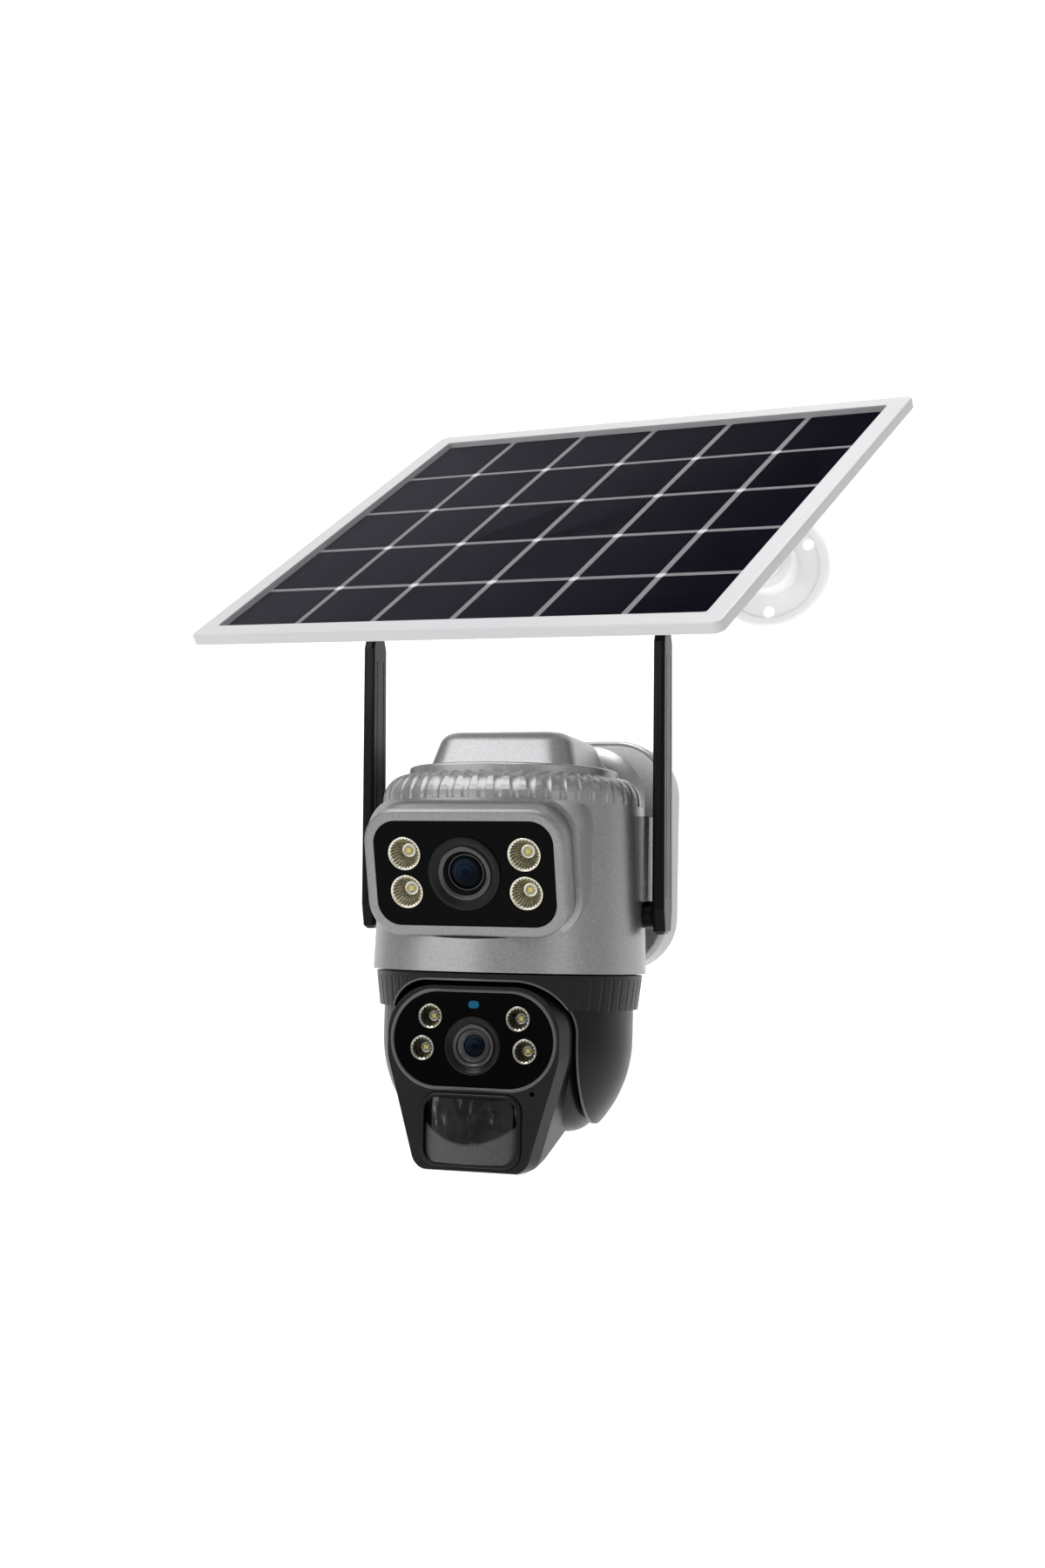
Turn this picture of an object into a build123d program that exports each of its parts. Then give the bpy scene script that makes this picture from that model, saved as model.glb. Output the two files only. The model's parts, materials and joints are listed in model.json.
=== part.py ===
from build123d import *
import math
import os

# Solar-powered security camera, millimetres.
# Everything is drawn about the upright axis of the camera body: X to the right, Y towards the wall,
# Z up, with Z = 0 at the lower rim of the grey body. save() moves each piece to the wall frame, whose
# origin is the centre of the camera's four wall screws, on the wall.

# ---- driving dimensions ---------------------------------------------------------------------------
WALL_Y = 77.0            # from the body's axis to the wall
SCREW_CENTRE_Z = 58.0    # height of the four wall screws' centre above the grey body's lower rim
SCREW_SPACING_X = 76.0
SCREW_SPACING_Z = 64.0
SCREW_HOLE_R = 2.5

SKIN = 2.4               # moulded wall thickness
BODY_R_LOW = 65.0
BODY_R_TOP = 62.7
BODY_H = 76.8
CROWN_H = 15.8           # ribbed ring above the body
CROWN_R_TOP = 51.2
CROWN_RIBS = 52
FLUTE_R = 4.2             # shallow flutes between the crown's ribs
FLUTE_DEPTH = 0.85
BODY_TOP_Z = BODY_H + CROWN_H

FACE_FRONT = 72.0        # from the body's axis to the middle of the upper camera's face
FACE_Z = 43.4
FACE_PITCH = 16.5        # degrees that the upper camera looks down
BEZEL_W = 94.0
BEZEL_H = 59.0
BEZEL_R = 16.0
WINDOW_W = 84.4
WINDOW_H = 48.4
WINDOW_R = 11.0
UPPER_LED_X = 28.1
UPPER_LED_Y = 8.8
UPPER_LED_R = 7.8
UPPER_LENS_R = 17.0

REAR_W = 130.0           # rear housing, seen from the front
REAR_Z_LOW = 0.6
REAR_Z_TOP = 115.5
REAR_CORNER_R = 27.0
REAR_FRONT_Y = 51.0
REAR_BACK_Y = 72.8
COVER_T = 2.2

ANTENNA_X = 72.8         # middle of each blade
ANTENNA_Y = 5.5
ANTENNA_PIVOT_Z = 28.0
ANTENNA_TOP_Z = 164.5
ANTENNA_LEAN = 3.4       # degrees that the blades lean forward
BLADE_W = 19.0
BLADE_T = 6.0

PAN_GEAR_TEETH = 48
PAN_PINION_TEETH = 12
PAN_MODULE = 1.25
PAN_PINION_ANGLE = 140.0  # where the pan motor stands round the pan axis, degrees from +X
HUB_R = 20.0
TILT_GEAR_TEETH = 30
TILT_PINION_TEETH = 12
TILT_MODULE = 1.0
RUN_FIT = 0.05            # radial clearance of a shaft in its hole

YOKE_TOP_Z = -0.8
YOKE_R_TOP = 63.4
YOKE_R_LOW = 61.4
YOKE_RING_H = 16.0
DOME_R = 59.3
TILT_Z = -31.0
FORK_HALF = 44.5          # half of the gap between the fork's arms
HEAD_ROOM_R = 44.7

HEAD_HALF = 43.2
HEAD_FRONT_Y = -54.0
HEAD_SPLIT_Y = -34.0
HEAD_FLARE = 2.2          # how far the head's side grows behind its front edge
HEAD_FLARE_DEPTH = 9.0
HEAD_BACK_MASK_Y = -8.0   # the flat-sided part of the head ends here
HEAD_BALL_R = 43.3
HEAD_BALL_ROUND = 12.0    # rounding of the ball's ends
EYE_W = 76.0              # oval window of the lower camera
EYE_H = 43.0
EYE_Z = -30.6
CHIN_W = 52.0
CHIN_Z_LOW = -89.5
LOWER_LENS_Z = -33.4
LOWER_LENS_R = 13.4
LOWER_LED_R = 5.8
PIR_W = 44.0
PIR_H = 29.0
PIR_Z = -71.0

PANEL_W = 260.0
PANEL_H = 228.0
PANEL_T = 12.0            # over the stiffening box on the back
PANEL_RIM_T = 4.6         # the edge that shows
PANEL_BOX_INSET = 20.0
PANEL_BORDER = 9.5
PANEL_YAW = -11.3
PANEL_TILT = 35.7
PANEL_ROLL = -4.4
PANEL_CENTRE = Vector(37.5, -65.3, 205.8)
CELL_COLUMNS = 6
CELL_ROWS = 5
CELL_GAP = 3.4

DISC_X = 110.0            # solar bracket's wall disc
DISC_Z = 205.5
DISC_R = 30.5
DISC_T = 5.0
DISC_HOLE_R = 2.9
DISC_HOLE_PCD = 45.0
BOSS_R = 15.0
BOSS_L = 18.0
ARM_R = 7.9
KNUCKLE_DROP = 31.0       # from the panel's face to the knuckle's pin
KNUCKLE_R = 9.0

# ---- drawing helpers ------------------------------------------------------------------------------


def block(x0, x1, y0, y1, z0, z1):
    return Pos((x0 + x1) / 2, (y0 + y1) / 2, (z0 + z1) / 2) * Box(x1 - x0, y1 - y0, z1 - z0)


def rod_x(r, x0, x1, y=0.0, z=0.0):
    return Pos((x0 + x1) / 2, y, z) * Rot(0, 90, 0) * Cylinder(r, x1 - x0)


def rod_y(r, y0, y1, x=0.0, z=0.0):
    return Pos(x, (y0 + y1) / 2, z) * Rot(90, 0, 0) * Cylinder(r, y1 - y0)


def rod_z(r, z0, z1, x=0.0, y=0.0):
    return Pos(x, y, (z0 + z1) / 2) * Cylinder(r, z1 - z0)


def plate_y(w, h, r, y0, y1, x=0.0, z=0.0):
    """Rounded rectangle seen from the front, from y0 back to y1."""
    return Pos(x, y1, z) * extrude(Plane.XZ * RectangleRounded(w, h, r), y1 - y0)


def plate_z(w, h, r, z0, z1, x=0.0, y=0.0):
    """Rounded rectangle seen from above, from z0 up to z1."""
    return Pos(x, y, z0) * extrude(RectangleRounded(w, h, r), z1 - z0)


def spun(points):
    """Solid of revolution about Z of a closed outline of (radius, height) points."""
    outline = make_face(Plane.XZ * Polyline(*points, close=True))
    return revolve(outline, Axis.Z)


def around(shape, angles, axis=Axis.Z):
    return [shape.rotate(axis, a) for a in angles]


def save(node, shape):
    moved = Pos(0, -WALL_Y, -SCREW_CENTRE_Z) * shape
    solids = list(moved.solids())
    moved = solids[0] if len(solids) == 1 else Compound(children=solids)
    export_step(moved, "parts/" + node + ".step")


def gear(teeth, module, width, tooth_at):
    """Spur gear about Z on z = 0, with a tooth at the angle tooth_at, in degrees. The teeth are short
    and thin, so that a moulded pair runs with play."""
    pitch_r = teeth * module / 2
    base_r = pitch_r * math.cos(math.radians(20))
    tip_r = pitch_r + 0.8 * module
    root_r = pitch_r - 1.15 * module
    half_tooth = math.pi / teeth / 2 * 0.86
    at_pitch = math.tan(math.radians(20)) - math.radians(20)
    flank = []
    for i in range(4):
        r = max(base_r, root_r) + (tip_r - max(base_r, root_r)) * i / 3
        a = math.acos(min(1.0, base_r / r))
        flank.append((r, half_tooth + at_pitch - (math.tan(a) - a)))
    if root_r < base_r:
        flank.insert(0, (root_r, flank[0][1]))
    points = []
    for k in range(teeth):
        middle = math.radians(tooth_at) + k * 2 * math.pi / teeth
        for r, a in flank:
            points.append((r * math.cos(middle - a), r * math.sin(middle - a)))
        for r, a in reversed(flank):
            points.append((r * math.cos(middle + a), r * math.sin(middle + a)))
    return extrude(make_face(Polyline(*points, close=True)), width)


def pan_screw(length, head_r, head_h, shank_r):
    """Screw about Z: its head's underside on z = 0, the shank below."""
    head = rod_z(head_r, 0, head_h)
    head = fillet(head.edges().sort_by(Axis.Z)[-1], head_h * 0.45)
    slot = block(-head_r * 0.55, head_r * 0.55, -0.35, 0.35, head_h - 0.8, head_h + 1)
    cross = slot + slot.rotate(Axis.Z, 90)
    return head + rod_z(shank_r, -length, 0) - cross


# ---- camera body, fixed to the wall ---------------------------------------------------------------

FACE = Plane(
    origin=(0, -FACE_FRONT, FACE_Z),
    x_dir=(1, 0, 0),
    z_dir=(0, -math.cos(math.radians(FACE_PITCH)), -math.sin(math.radians(FACE_PITCH))),
).location
NECK_W = 88.0
NECK_Z_LOW = 22.0
NECK_Z_TOP = 105.5
NECK_R = 20.0
NECK_FRONT_Y = 24.0


def body_cone(inset=0.0, z0=0.0, z1=BODY_H):
    return spun([(0, z0), (BODY_R_LOW - inset, z0), (BODY_R_TOP - inset, z1), (0, z1)])


def face_prism(w, h, r, back, front):
    """Rounded block on the upper camera's face, from back to front along the face's normal."""
    return FACE * plate_z(w, h, r, back, front)


def neck_solid(inset=0.0):
    z_mid = (NECK_Z_LOW + NECK_Z_TOP) / 2
    height = NECK_Z_TOP - NECK_Z_LOW
    tube = plate_y(NECK_W - 2 * inset, height - 2 * inset, NECK_R - inset, NECK_FRONT_Y,
                   REAR_FRONT_Y + SKIN, z=z_mid)
    steps = [(38.0, 0.0), (43.0, 1.6), (47.5, 5.0), (REAR_FRONT_Y + 0.5, 9.4)]
    rings = []
    for y, grow in steps:
        outline = RectangleRounded(NECK_W - 2 * inset + 2 * grow, height - 2 * inset + 1.6 * grow,
                                   NECK_R - inset + grow)
        rings.append(Pos(0, y, z_mid) * (Plane.XZ * outline))
    return tube + loft(rings)


def rear_block(inset, y0, y1):
    z_mid = (REAR_Z_LOW + REAR_Z_TOP) / 2
    height = REAR_Z_TOP - REAR_Z_LOW
    return plate_y(REAR_W - 2 * inset, height - 2 * inset, REAR_CORNER_R - inset, y0, y1, z=z_mid)


BATTERY_Y = 62.3
CELL_XS = (-29.4, -9.8, 9.8, 29.4)
BUTTON_Y = 62.0
POWER_BUTTON_Z = 36.0
RESET_BUTTON_Z = 46.0
INLET_Z = 62.0
SIDE_X = -REAR_W / 2


def before_rear():
    """Everything in front of the rear housing's front wall."""
    return block(-90, 90, -90, REAR_FRONT_Y, -10, 130)


def rear_housing():
    block_out = rear_block(0, REAR_FRONT_Y, REAR_BACK_Y)
    front_edges = block_out.edges().group_by(Axis.Y)[0]
    block_out = fillet(front_edges, 3.2)
    shell = block_out + neck_solid()
    shell -= rear_block(SKIN, REAR_FRONT_Y + SKIN, REAR_BACK_Y + 1)
    shell -= plate_y(NECK_W - 2 * SKIN, NECK_Z_TOP - NECK_Z_LOW - 2 * SKIN, NECK_R - SKIN,
                     NECK_FRONT_Y - 1, REAR_BACK_Y, z=(NECK_Z_LOW + NECK_Z_TOP) / 2)
    shell -= (body_cone() + crown_blank()) & before_rear()
    for z, r in ((POWER_BUTTON_Z, 3.3), (RESET_BUTTON_Z, 2.0), (INLET_Z, 5.0)):
        shell -= rod_x(r, SIDE_X - 1, SIDE_X + SKIN + 1, BUTTON_Y, z)
    for x, z in cover_screw_places():
        shell += rod_y(3.6, REAR_FRONT_Y + SKIN, REAR_BACK_Y, x, z)
        shell -= rod_y(1.25, REAR_BACK_Y - 12, REAR_BACK_Y + 1, x, z)
    return shell


def cover_screw_places():
    x = REAR_W / 2 - 12
    return [(-x, REAR_Z_LOW + 17), (x, REAR_Z_LOW + 17), (-x, REAR_Z_TOP - 17), (x, REAR_Z_TOP - 17)]


def rear_cover():
    cover = rear_block(0.0, REAR_BACK_Y, REAR_BACK_Y + COVER_T)
    for x, z in cover_screw_places():
        cover -= rod_y(1.6, REAR_BACK_Y, WALL_Y, x, z)
    for x, z in wall_screw_places():
        cover -= rod_y(4.8, REAR_BACK_Y + 0.6, WALL_Y, x, z)
    return cover


def wall_plate():
    low = SCREW_CENTRE_Z - SCREW_SPACING_Z / 2 - 10
    high = SCREW_CENTRE_Z + SCREW_SPACING_Z / 2 + 10
    plate = plate_y(SCREW_SPACING_X + 20, high - low, 9, WALL_Y - 2.0, WALL_Y, z=SCREW_CENTRE_Z)
    for x, z in wall_screw_places():
        plate -= rod_y(SCREW_HOLE_R, WALL_Y - 3, WALL_Y + 1, x, z)
    return plate


def wall_screw_places():
    places = []
    for sx in (-1, 1):
        for sz in (-1, 1):
            places.append((sx * SCREW_SPACING_X / 2, SCREW_CENTRE_Z + sz * SCREW_SPACING_Z / 2))
    return places


def below_crown():
    return block(-90, 90, -110, 90, -10, BODY_H - 0.1)


def upper_shell():
    outer = body_cone()
    collar = face_prism(BEZEL_W + 6, BEZEL_H + 6, BEZEL_R + 3, -44, -13.5)
    outer += (collar & below_crown()) - body_cone(1.0)
    for side in (-1, 1):
        pad = block(52, 67.2, ANTENNA_Y - 8.5, ANTENNA_Y + 8.5, 34.5, 74)
        pad = chamfer(pad.edges().filter_by(Axis.Z).sort_by(Axis.X)[-2:], 2.0)
        outer += pad if side > 0 else pad.mirror(Plane.YZ)
    shell = outer - body_cone(SKIN, -1, BODY_H + 1)
    shell -= face_prism(BEZEL_W + 0.1, BEZEL_H + 0.1, BEZEL_R, -60, 2)
    shell -= block(-NECK_W / 2 + 6, NECK_W / 2 - 6, 20, 80, NECK_Z_LOW + 8, BODY_H + 1)
    for side in (-1, 1):
        shell -= rod_x(4.0, min(side * 52, side * 70), max(side * 52, side * 70), ANTENNA_Y,
                       ANTENNA_PIVOT_Z)
    return shell & before_rear()


def crown_blank():
    """The crown's rounded outer shape, solid."""
    arc = []
    for i in range(9):
        a = math.radians(90 * i / 8)
        arc.append((CROWN_R_TOP + (BODY_R_TOP - CROWN_R_TOP) * math.cos(a),
                    BODY_H + 3.0 + (CROWN_H - 3.6) * math.sin(a)))
    return spun([(0, BODY_H), (BODY_R_TOP, BODY_H)] + arc + [(0, BODY_TOP_Z - 0.6)])


def crown_ring():
    """Ribbed ring between the body and the top cover."""
    ring = crown_blank()
    ring -= spun([(0, BODY_H - 1), (BODY_R_TOP - 3.4, BODY_H - 1), (BODY_R_TOP - 3.4, BODY_H + 3),
                  (CROWN_R_TOP - 1, BODY_TOP_Z - 4.2), (CROWN_R_TOP - 5, BODY_TOP_Z - 4.2),
                  (CROWN_R_TOP - 5, BODY_TOP_Z + 1), (0, BODY_TOP_Z + 1)])
    arc_r = (BODY_R_TOP - CROWN_R_TOP + CROWN_H - 3.6) / 2
    flute = Pos(CROWN_R_TOP, 0, BODY_H + 3) * Rot(90, 0, 0) * Torus(arc_r + FLUTE_R - FLUTE_DEPTH, FLUTE_R)
    flute &= block(CROWN_R_TOP + 0.6, 80, -5, 5, BODY_H + 1.6, BODY_TOP_Z + 5)
    step = 360 / CROWN_RIBS
    ring -= around(flute, [step * (k + 0.5) for k in range(CROWN_RIBS)])
    return ring & before_rear()


def top_cover():
    plate = rod_z(CROWN_R_TOP - 0.8, BODY_TOP_Z - 0.6, BODY_TOP_Z + 3.2)
    plate = fillet(plate.edges().sort_by(Axis.Z)[-1], 1.2)
    low = Pos(2, 3, BODY_TOP_Z + 2.8) * RectangleRounded(72, 80, 15)
    top = Pos(2, 1, BODY_TOP_Z + 19.4) * RectangleRounded(63, 62, 13)
    hump = loft([low, top], ruled=True)
    hump = fillet(hump.edges().group_by(Axis.Z)[-1], 8.0)
    cover = plate + (hump & rod_z(CROWN_R_TOP - 1.5, BODY_TOP_Z, BODY_TOP_Z + 30))
    spigot = rod_z(CROWN_R_TOP - 5.2, BODY_TOP_Z - 4, BODY_TOP_Z - 0.6)
    spigot -= rod_z(CROWN_R_TOP - 7.5, BODY_TOP_Z - 5, BODY_TOP_Z)
    hollow = loft([Pos(2, 3, BODY_TOP_Z - 1) * RectangleRounded(66, 72, 11),
                   Pos(2, 1, BODY_TOP_Z + 16.0) * RectangleRounded(56, 54, 10)], ruled=True)
    hollow &= rod_z(CROWN_R_TOP - 5, BODY_TOP_Z - 2, BODY_TOP_Z + 30)
    return cover + spigot - hollow - neck_solid()


def face_bezel():
    body = face_prism(BEZEL_W, BEZEL_H, BEZEL_R, -40, 0)
    rim = [e for e in body.edges() if abs((FACE.inverse() * e).center().Z) < 0.01]
    body = fillet(rim, 2.2) & below_crown()
    body -= face_prism(WINDOW_W, WINDOW_H, WINDOW_R, -2.4, 1)
    body -= face_prism(WINDOW_W - 4, WINDOW_H - 4, WINDOW_R - 2, -5.0, 1)
    body -= face_prism(BEZEL_W - 5, BEZEL_H - 5, BEZEL_R - 2.5, -50, -4.9)
    return body - body_cone(SKIN + 1.0, -5, BODY_H + 5)


def upper_led_places():
    return [(sx * UPPER_LED_X, sy * UPPER_LED_Y) for sx in (-1, 1) for sy in (-1, 1)]


def upper_window():
    pane = plate_z(WINDOW_W - 0.2, WINDOW_H - 0.2, WINDOW_R - 0.1, -2.4, -0.8)
    for x, y in upper_led_places():
        pane -= rod_z(UPPER_LED_R, -3, 1, x, y)
    pane -= rod_z(UPPER_LENS_R, -3, 1)
    return FACE * pane


def reflector(r, depth):
    """Lamp cup about Z, open upwards at z = 0."""
    cup = spun([(r, 0), (r, -1.0), (r * 0.55, -depth), (1.6, -depth), (1.6, -depth + 1),
                (r * 0.36, -depth + 1), (r * 0.9, 0)])
    return cup


def led_chip(depth, r):
    """Square base with a clear dome, standing in the bottom of a lamp cup."""
    base = rod_z(1.55, -depth - 1.2, -depth + 1.0)
    dome = Pos(0, 0, -depth + 1.0) * Sphere(r) & rod_z(r, -depth + 1.0, 0)
    return base + dome


def lens_barrel(r, depth, tube_r):
    """Stepped lens hood about Z: its front rim on z = 0."""
    outline = [(r, 0.6), (r, -2), (tube_r, -2.2), (tube_r, -depth), (tube_r - 2, -depth),
               (tube_r - 2, -6), (r * 0.46, -5), (r * 0.46, -3.2), (r * 0.60, -3.2),
               (r * 0.62, -1.4), (r * 0.80, -1.0), (r * 0.86, 0.6)]
    return spun(outline)


def lens_glass(r, z_edge, bulge):
    """Bulging front glass about Z."""
    sphere_r = (r * r + bulge * bulge) / (2 * bulge)
    cap = Pos(0, 0, z_edge + bulge - sphere_r) * Sphere(sphere_r)
    return (cap & rod_z(r, z_edge, z_edge + bulge + 1)) + rod_z(r, z_edge - 1.0, z_edge)


def upper_camera_board():
    board = plate_z(74, 40, 3, -13.6, -12.0)
    for x, y in upper_led_places():
        board -= rod_z(1.7, -14, -11, x, y)
    board -= rod_z(UPPER_LENS_R * 0.62 + 0.1, -14, -11)
    board += block(-9, 9, -19, -15, -16, -13.6)
    board += plate_z(26, 26, 2, -21.6, -20.0) - block(-10, 10, -10, 10, -23, -20.6)
    for x in (-12, 12):
        board += block(x - 0.8, x + 0.8, -2, 2, -20.0, -13.6)
    return FACE * board


def base_plate():
    plate = rod_z(BODY_R_LOW - SKIN - 0.6, 1.0, 4.0) - rod_z(HUB_R + 1.0, 0, 5)
    plate += rod_z(HUB_R + 9.5, 4.0, 9.6) - rod_z(HUB_R + 6.5, 3, 10)
    motor_x, motor_y = pan_motor_place()
    for a in (-1, 1):
        x = motor_x + a * 17.5 * math.cos(math.radians(PAN_PINION_ANGLE + 90))
        y = motor_y + a * 17.5 * math.sin(math.radians(PAN_PINION_ANGLE + 90))
        plate += rod_z(3.2, 4.0, 18.0, x, y) - rod_z(1.2, 10, 19, x, y)
    for x, y in board_posts():
        plate += rod_z(2.6, 4.0, 40.0, x, y)
    return plate & before_rear()


def board_posts():
    return [(38, 30), (38, -12), (-26, -32), (10, -36)]


def pan_motor_place():
    gap = PAN_MODULE * (PAN_GEAR_TEETH + PAN_PINION_TEETH) / 2
    a = math.radians(PAN_PINION_ANGLE)
    return gap * math.cos(a), gap * math.sin(a)


def pan_motor():
    can = rod_z(14, 20.0, 38.5) + rod_z(4.5, 18.6, 20.0)
    ears = block(-21, 21, -3.5, 3.5, 18.0, 20.0) - rod_z(1.7, 17, 21, 17.5) - rod_z(1.7, 17, 21, -17.5)
    motor = can + ears.rotate(Axis.Z, PAN_PINION_ANGLE + 90)
    motor += block(-7.5, 7.5, 10, 17, 22, 37).rotate(Axis.Z, PAN_PINION_ANGLE - 90)
    x, y = pan_motor_place()
    return Pos(x, y, 0) * (motor - rod_z(2.0 + RUN_FIT, 18, 27))


def pan_pinion():
    x, y = pan_motor_place()
    wheel = gear(PAN_PINION_TEETH, PAN_MODULE, 5.4, PAN_PINION_ANGLE + 180 + 180 / PAN_PINION_TEETH)
    return Pos(x, y, 11.4) * (wheel + rod_z(2.0, 5.0, 15.0))


def pan_bearing():
    race = rod_z(HUB_R + 6.4, 4.0, 10.2) - rod_z(HUB_R + RUN_FIT, 3, 11)
    groove = rod_z(HUB_R + 4.4, 9.4, 11) - rod_z(HUB_R + 2.4, 9, 11)
    return race - groove


def main_board():
    board = Pos(0, 0, 40.0) * extrude(Circle(50) & Pos(6, -2, 0) * Rectangle(78, 78), 1.6)
    board -= rod_z(17, 39, 43, -34, 24)
    board += block(-8, 14, -8, 14, 41.6, 43.2)
    board += block(20, 36, -4, 22, 41.6, 44.0)
    board += block(-26, 4, -27, -12, 41.6, 44.4)
    for y in (-16, -23):
        board += rod_z(1.4, 44.4, 46.2, -21, y)
    return board


def slip_ring():
    ring = rod_z(7.9, -2.0, 16.0) + rod_z(10.5, 16.0, 18.0) + rod_z(5.5, 18.0, 30.0)
    return ring


def battery_cells():
    cells = []
    for x in CELL_XS:
        cell = rod_z(9.1, 27.4, 91.4, x, BATTERY_Y) + rod_z(3.2, 91.4, 92.8, x, BATTERY_Y)
        cells.append(cell)
    return cells


def battery_tray():
    tray = block(-41, 41, 51.2, 53.0, 25.0, 96.0)
    tray += block(-41, 41, 53.0, 70.5, 25.0, 27.2)
    tray += block(-41, 41, 53.0, 70.5, 93.0, 95.2)
    tray &= plate_y(NECK_W - 2 * SKIN - 0.4, 78, 17, 40, 71, z=(NECK_Z_LOW + NECK_Z_TOP) / 2)
    for x in (-19.6, 0, 19.6):
        tray += block(x - 1.4, x + 1.4, 53.0, 60.0, 27.2, 93.0)
    for x in CELL_XS:
        tray -= rod_z(9.2, 27.2, 93.0, x, BATTERY_Y)
    return tray


def side_button(r, z):
    cap = rod_x(r, SIDE_X - 1.0, SIDE_X + 4.6, BUTTON_Y, z)
    cap = fillet(cap.edges().sort_by(Axis.X)[0], 0.5)
    return cap + rod_x(r + 1.0, SIDE_X + 4.0, SIDE_X + 5.0, BUTTON_Y, z)


def side_board():
    """Small board with the charging socket and the two switches under the side buttons."""
    board = block(SIDE_X + 9.2, SIDE_X + 10.6, BUTTON_Y - 8, BUTTON_Y + 8, 28, 70)
    for z in (POWER_BUTTON_Z, RESET_BUTTON_Z):
        board += block(SIDE_X + 6.8, SIDE_X + 9.2, BUTTON_Y - 3, BUTTON_Y + 3, z - 3, z + 3)
    board += rod_x(4.9, SIDE_X - 0.4, SIDE_X + 10, BUTTON_Y, INLET_Z)
    board += rod_x(6.2, SIDE_X + SKIN, SIDE_X + SKIN + 2.0, BUTTON_Y, INLET_Z)
    board -= rod_x(2.75, SIDE_X - 1, SIDE_X + 8.6, BUTTON_Y, INLET_Z)
    return board + rod_x(0.9, SIDE_X + 1, SIDE_X + 9, BUTTON_Y, INLET_Z)


def antenna_frame(side):
    return Plane(origin=(side * ANTENNA_X, ANTENNA_Y, ANTENNA_PIVOT_Z), x_dir=(1, 0, 0),
                 z_dir=(0, -math.sin(math.radians(ANTENNA_LEAN)), math.cos(math.radians(ANTENNA_LEAN))))


def antenna_blade(side):
    """Flat black blade with a raised spine and a pin that turns in its socket."""
    length = ANTENNA_TOP_Z - ANTENNA_PIVOT_Z
    half = BLADE_T / 2
    foot = Pos(0, 0, -BLADE_W / 2 + 0.5) * RectangleRounded(BLADE_T * 0.6, BLADE_W - 9, 1.3)
    low = Pos(0, 0, -BLADE_W / 2 + 2.1) * RectangleRounded(BLADE_T, BLADE_W - 5, 1.6)
    knee = Pos(0, 0, 3.0) * RectangleRounded(BLADE_T, BLADE_W, 1.6)
    top = Pos(0, 0, length - 8) * RectangleRounded(BLADE_T * 0.9, BLADE_W * 0.94, 1.5)
    crest = Pos(0, 0, length - 2) * RectangleRounded(BLADE_T * 0.84, BLADE_W * 0.66, 1.4)
    tip = Pos(0, 0, length) * RectangleRounded(BLADE_T * 0.5, BLADE_W * 0.4, 1.1)
    blade = loft([foot, low, knee, top, crest, tip], ruled=True)
    for y in (-4.2, 4.2):
        blade -= block(half - 0.55, half + 1, y - 0.4, y + 0.4, 8, length - 14)
        blade -= block(-half - 1, -half + 0.55, y - 0.4, y + 0.4, 8, length - 14)
    inner = -1 if side > 0 else 1
    pin = rod_x(3.0, -9.5, -half + 0.5)
    pin += rod_x(5.6, -half - 0.8, -half + 0.3)
    if inner > 0:
        pin = pin.mirror(Plane.YZ)
    return antenna_frame(side).location * (blade + pin)


def antenna_socket(side):
    """Round socket in the body's side that an antenna's pin turns in."""
    half = BLADE_T / 2
    outer_x = ANTENNA_X - half - 1.1
    socket = rod_x(6.3, 64.2, outer_x, ANTENNA_Y, ANTENNA_PIVOT_Z)
    socket += rod_x(3.9, 57.5, 64.3, ANTENNA_Y, ANTENNA_PIVOT_Z)
    socket += block(56.6, 58.6, ANTENNA_Y - 6, ANTENNA_Y + 6, ANTENNA_PIVOT_Z - 6, ANTENNA_PIVOT_Z + 6)
    socket -= rod_x(3.0 + RUN_FIT, 60.5, outer_x + 1, ANTENNA_Y, ANTENNA_PIVOT_Z)
    socket -= body_cone(0.0) - body_cone(SKIN) - rod_x(4.0, 50, 70, ANTENNA_Y, ANTENNA_PIVOT_Z)
    return socket if side > 0 else socket.mirror(Plane.YZ)


# ---- pan yoke ---------------------------------------------------------------------------------------


def dome(inset=0.0):
    r_top = YOKE_R_TOP - inset
    r_low = YOKE_R_LOW - inset
    ring_low = YOKE_TOP_Z - YOKE_RING_H
    skirt = spun([(0, ring_low), (r_low, ring_low), (r_top, YOKE_TOP_Z), (0, YOKE_TOP_Z)])
    ball = Pos(0, 0, TILT_Z) * Sphere(DOME_R - inset)
    neck = rod_z(DOME_R - inset, TILT_Z, ring_low)
    return skirt + (ball & block(-80, 80, -80, 80, -100, TILT_Z)) + neck


def head_room(grow=0.0):
    """Pieces of the space that the head turns in, with the arched opening over its window."""
    half = FORK_HALF + grow
    high = -3.5 + grow
    barrel = rod_x(HEAD_ROOM_R + grow, -half, half, 0, TILT_Z)
    barrel = fillet(barrel.edges().filter_by(GeomType.CIRCLE), HEAD_BALL_ROUND + 0.5 + grow)
    barrel &= block(-half, half, -80, 80, -100, high)
    arch = plate_y(2 * half, 2 * (high - TILT_Z), 24 + grow, -80, 0, z=TILT_Z)
    low = block(-half, half, -80, 0.1, -110, TILT_Z + 0.1)
    under = block(-half, half, -80, 80, -110, -46 + grow)
    return [low, under, barrel, arch]


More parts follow.
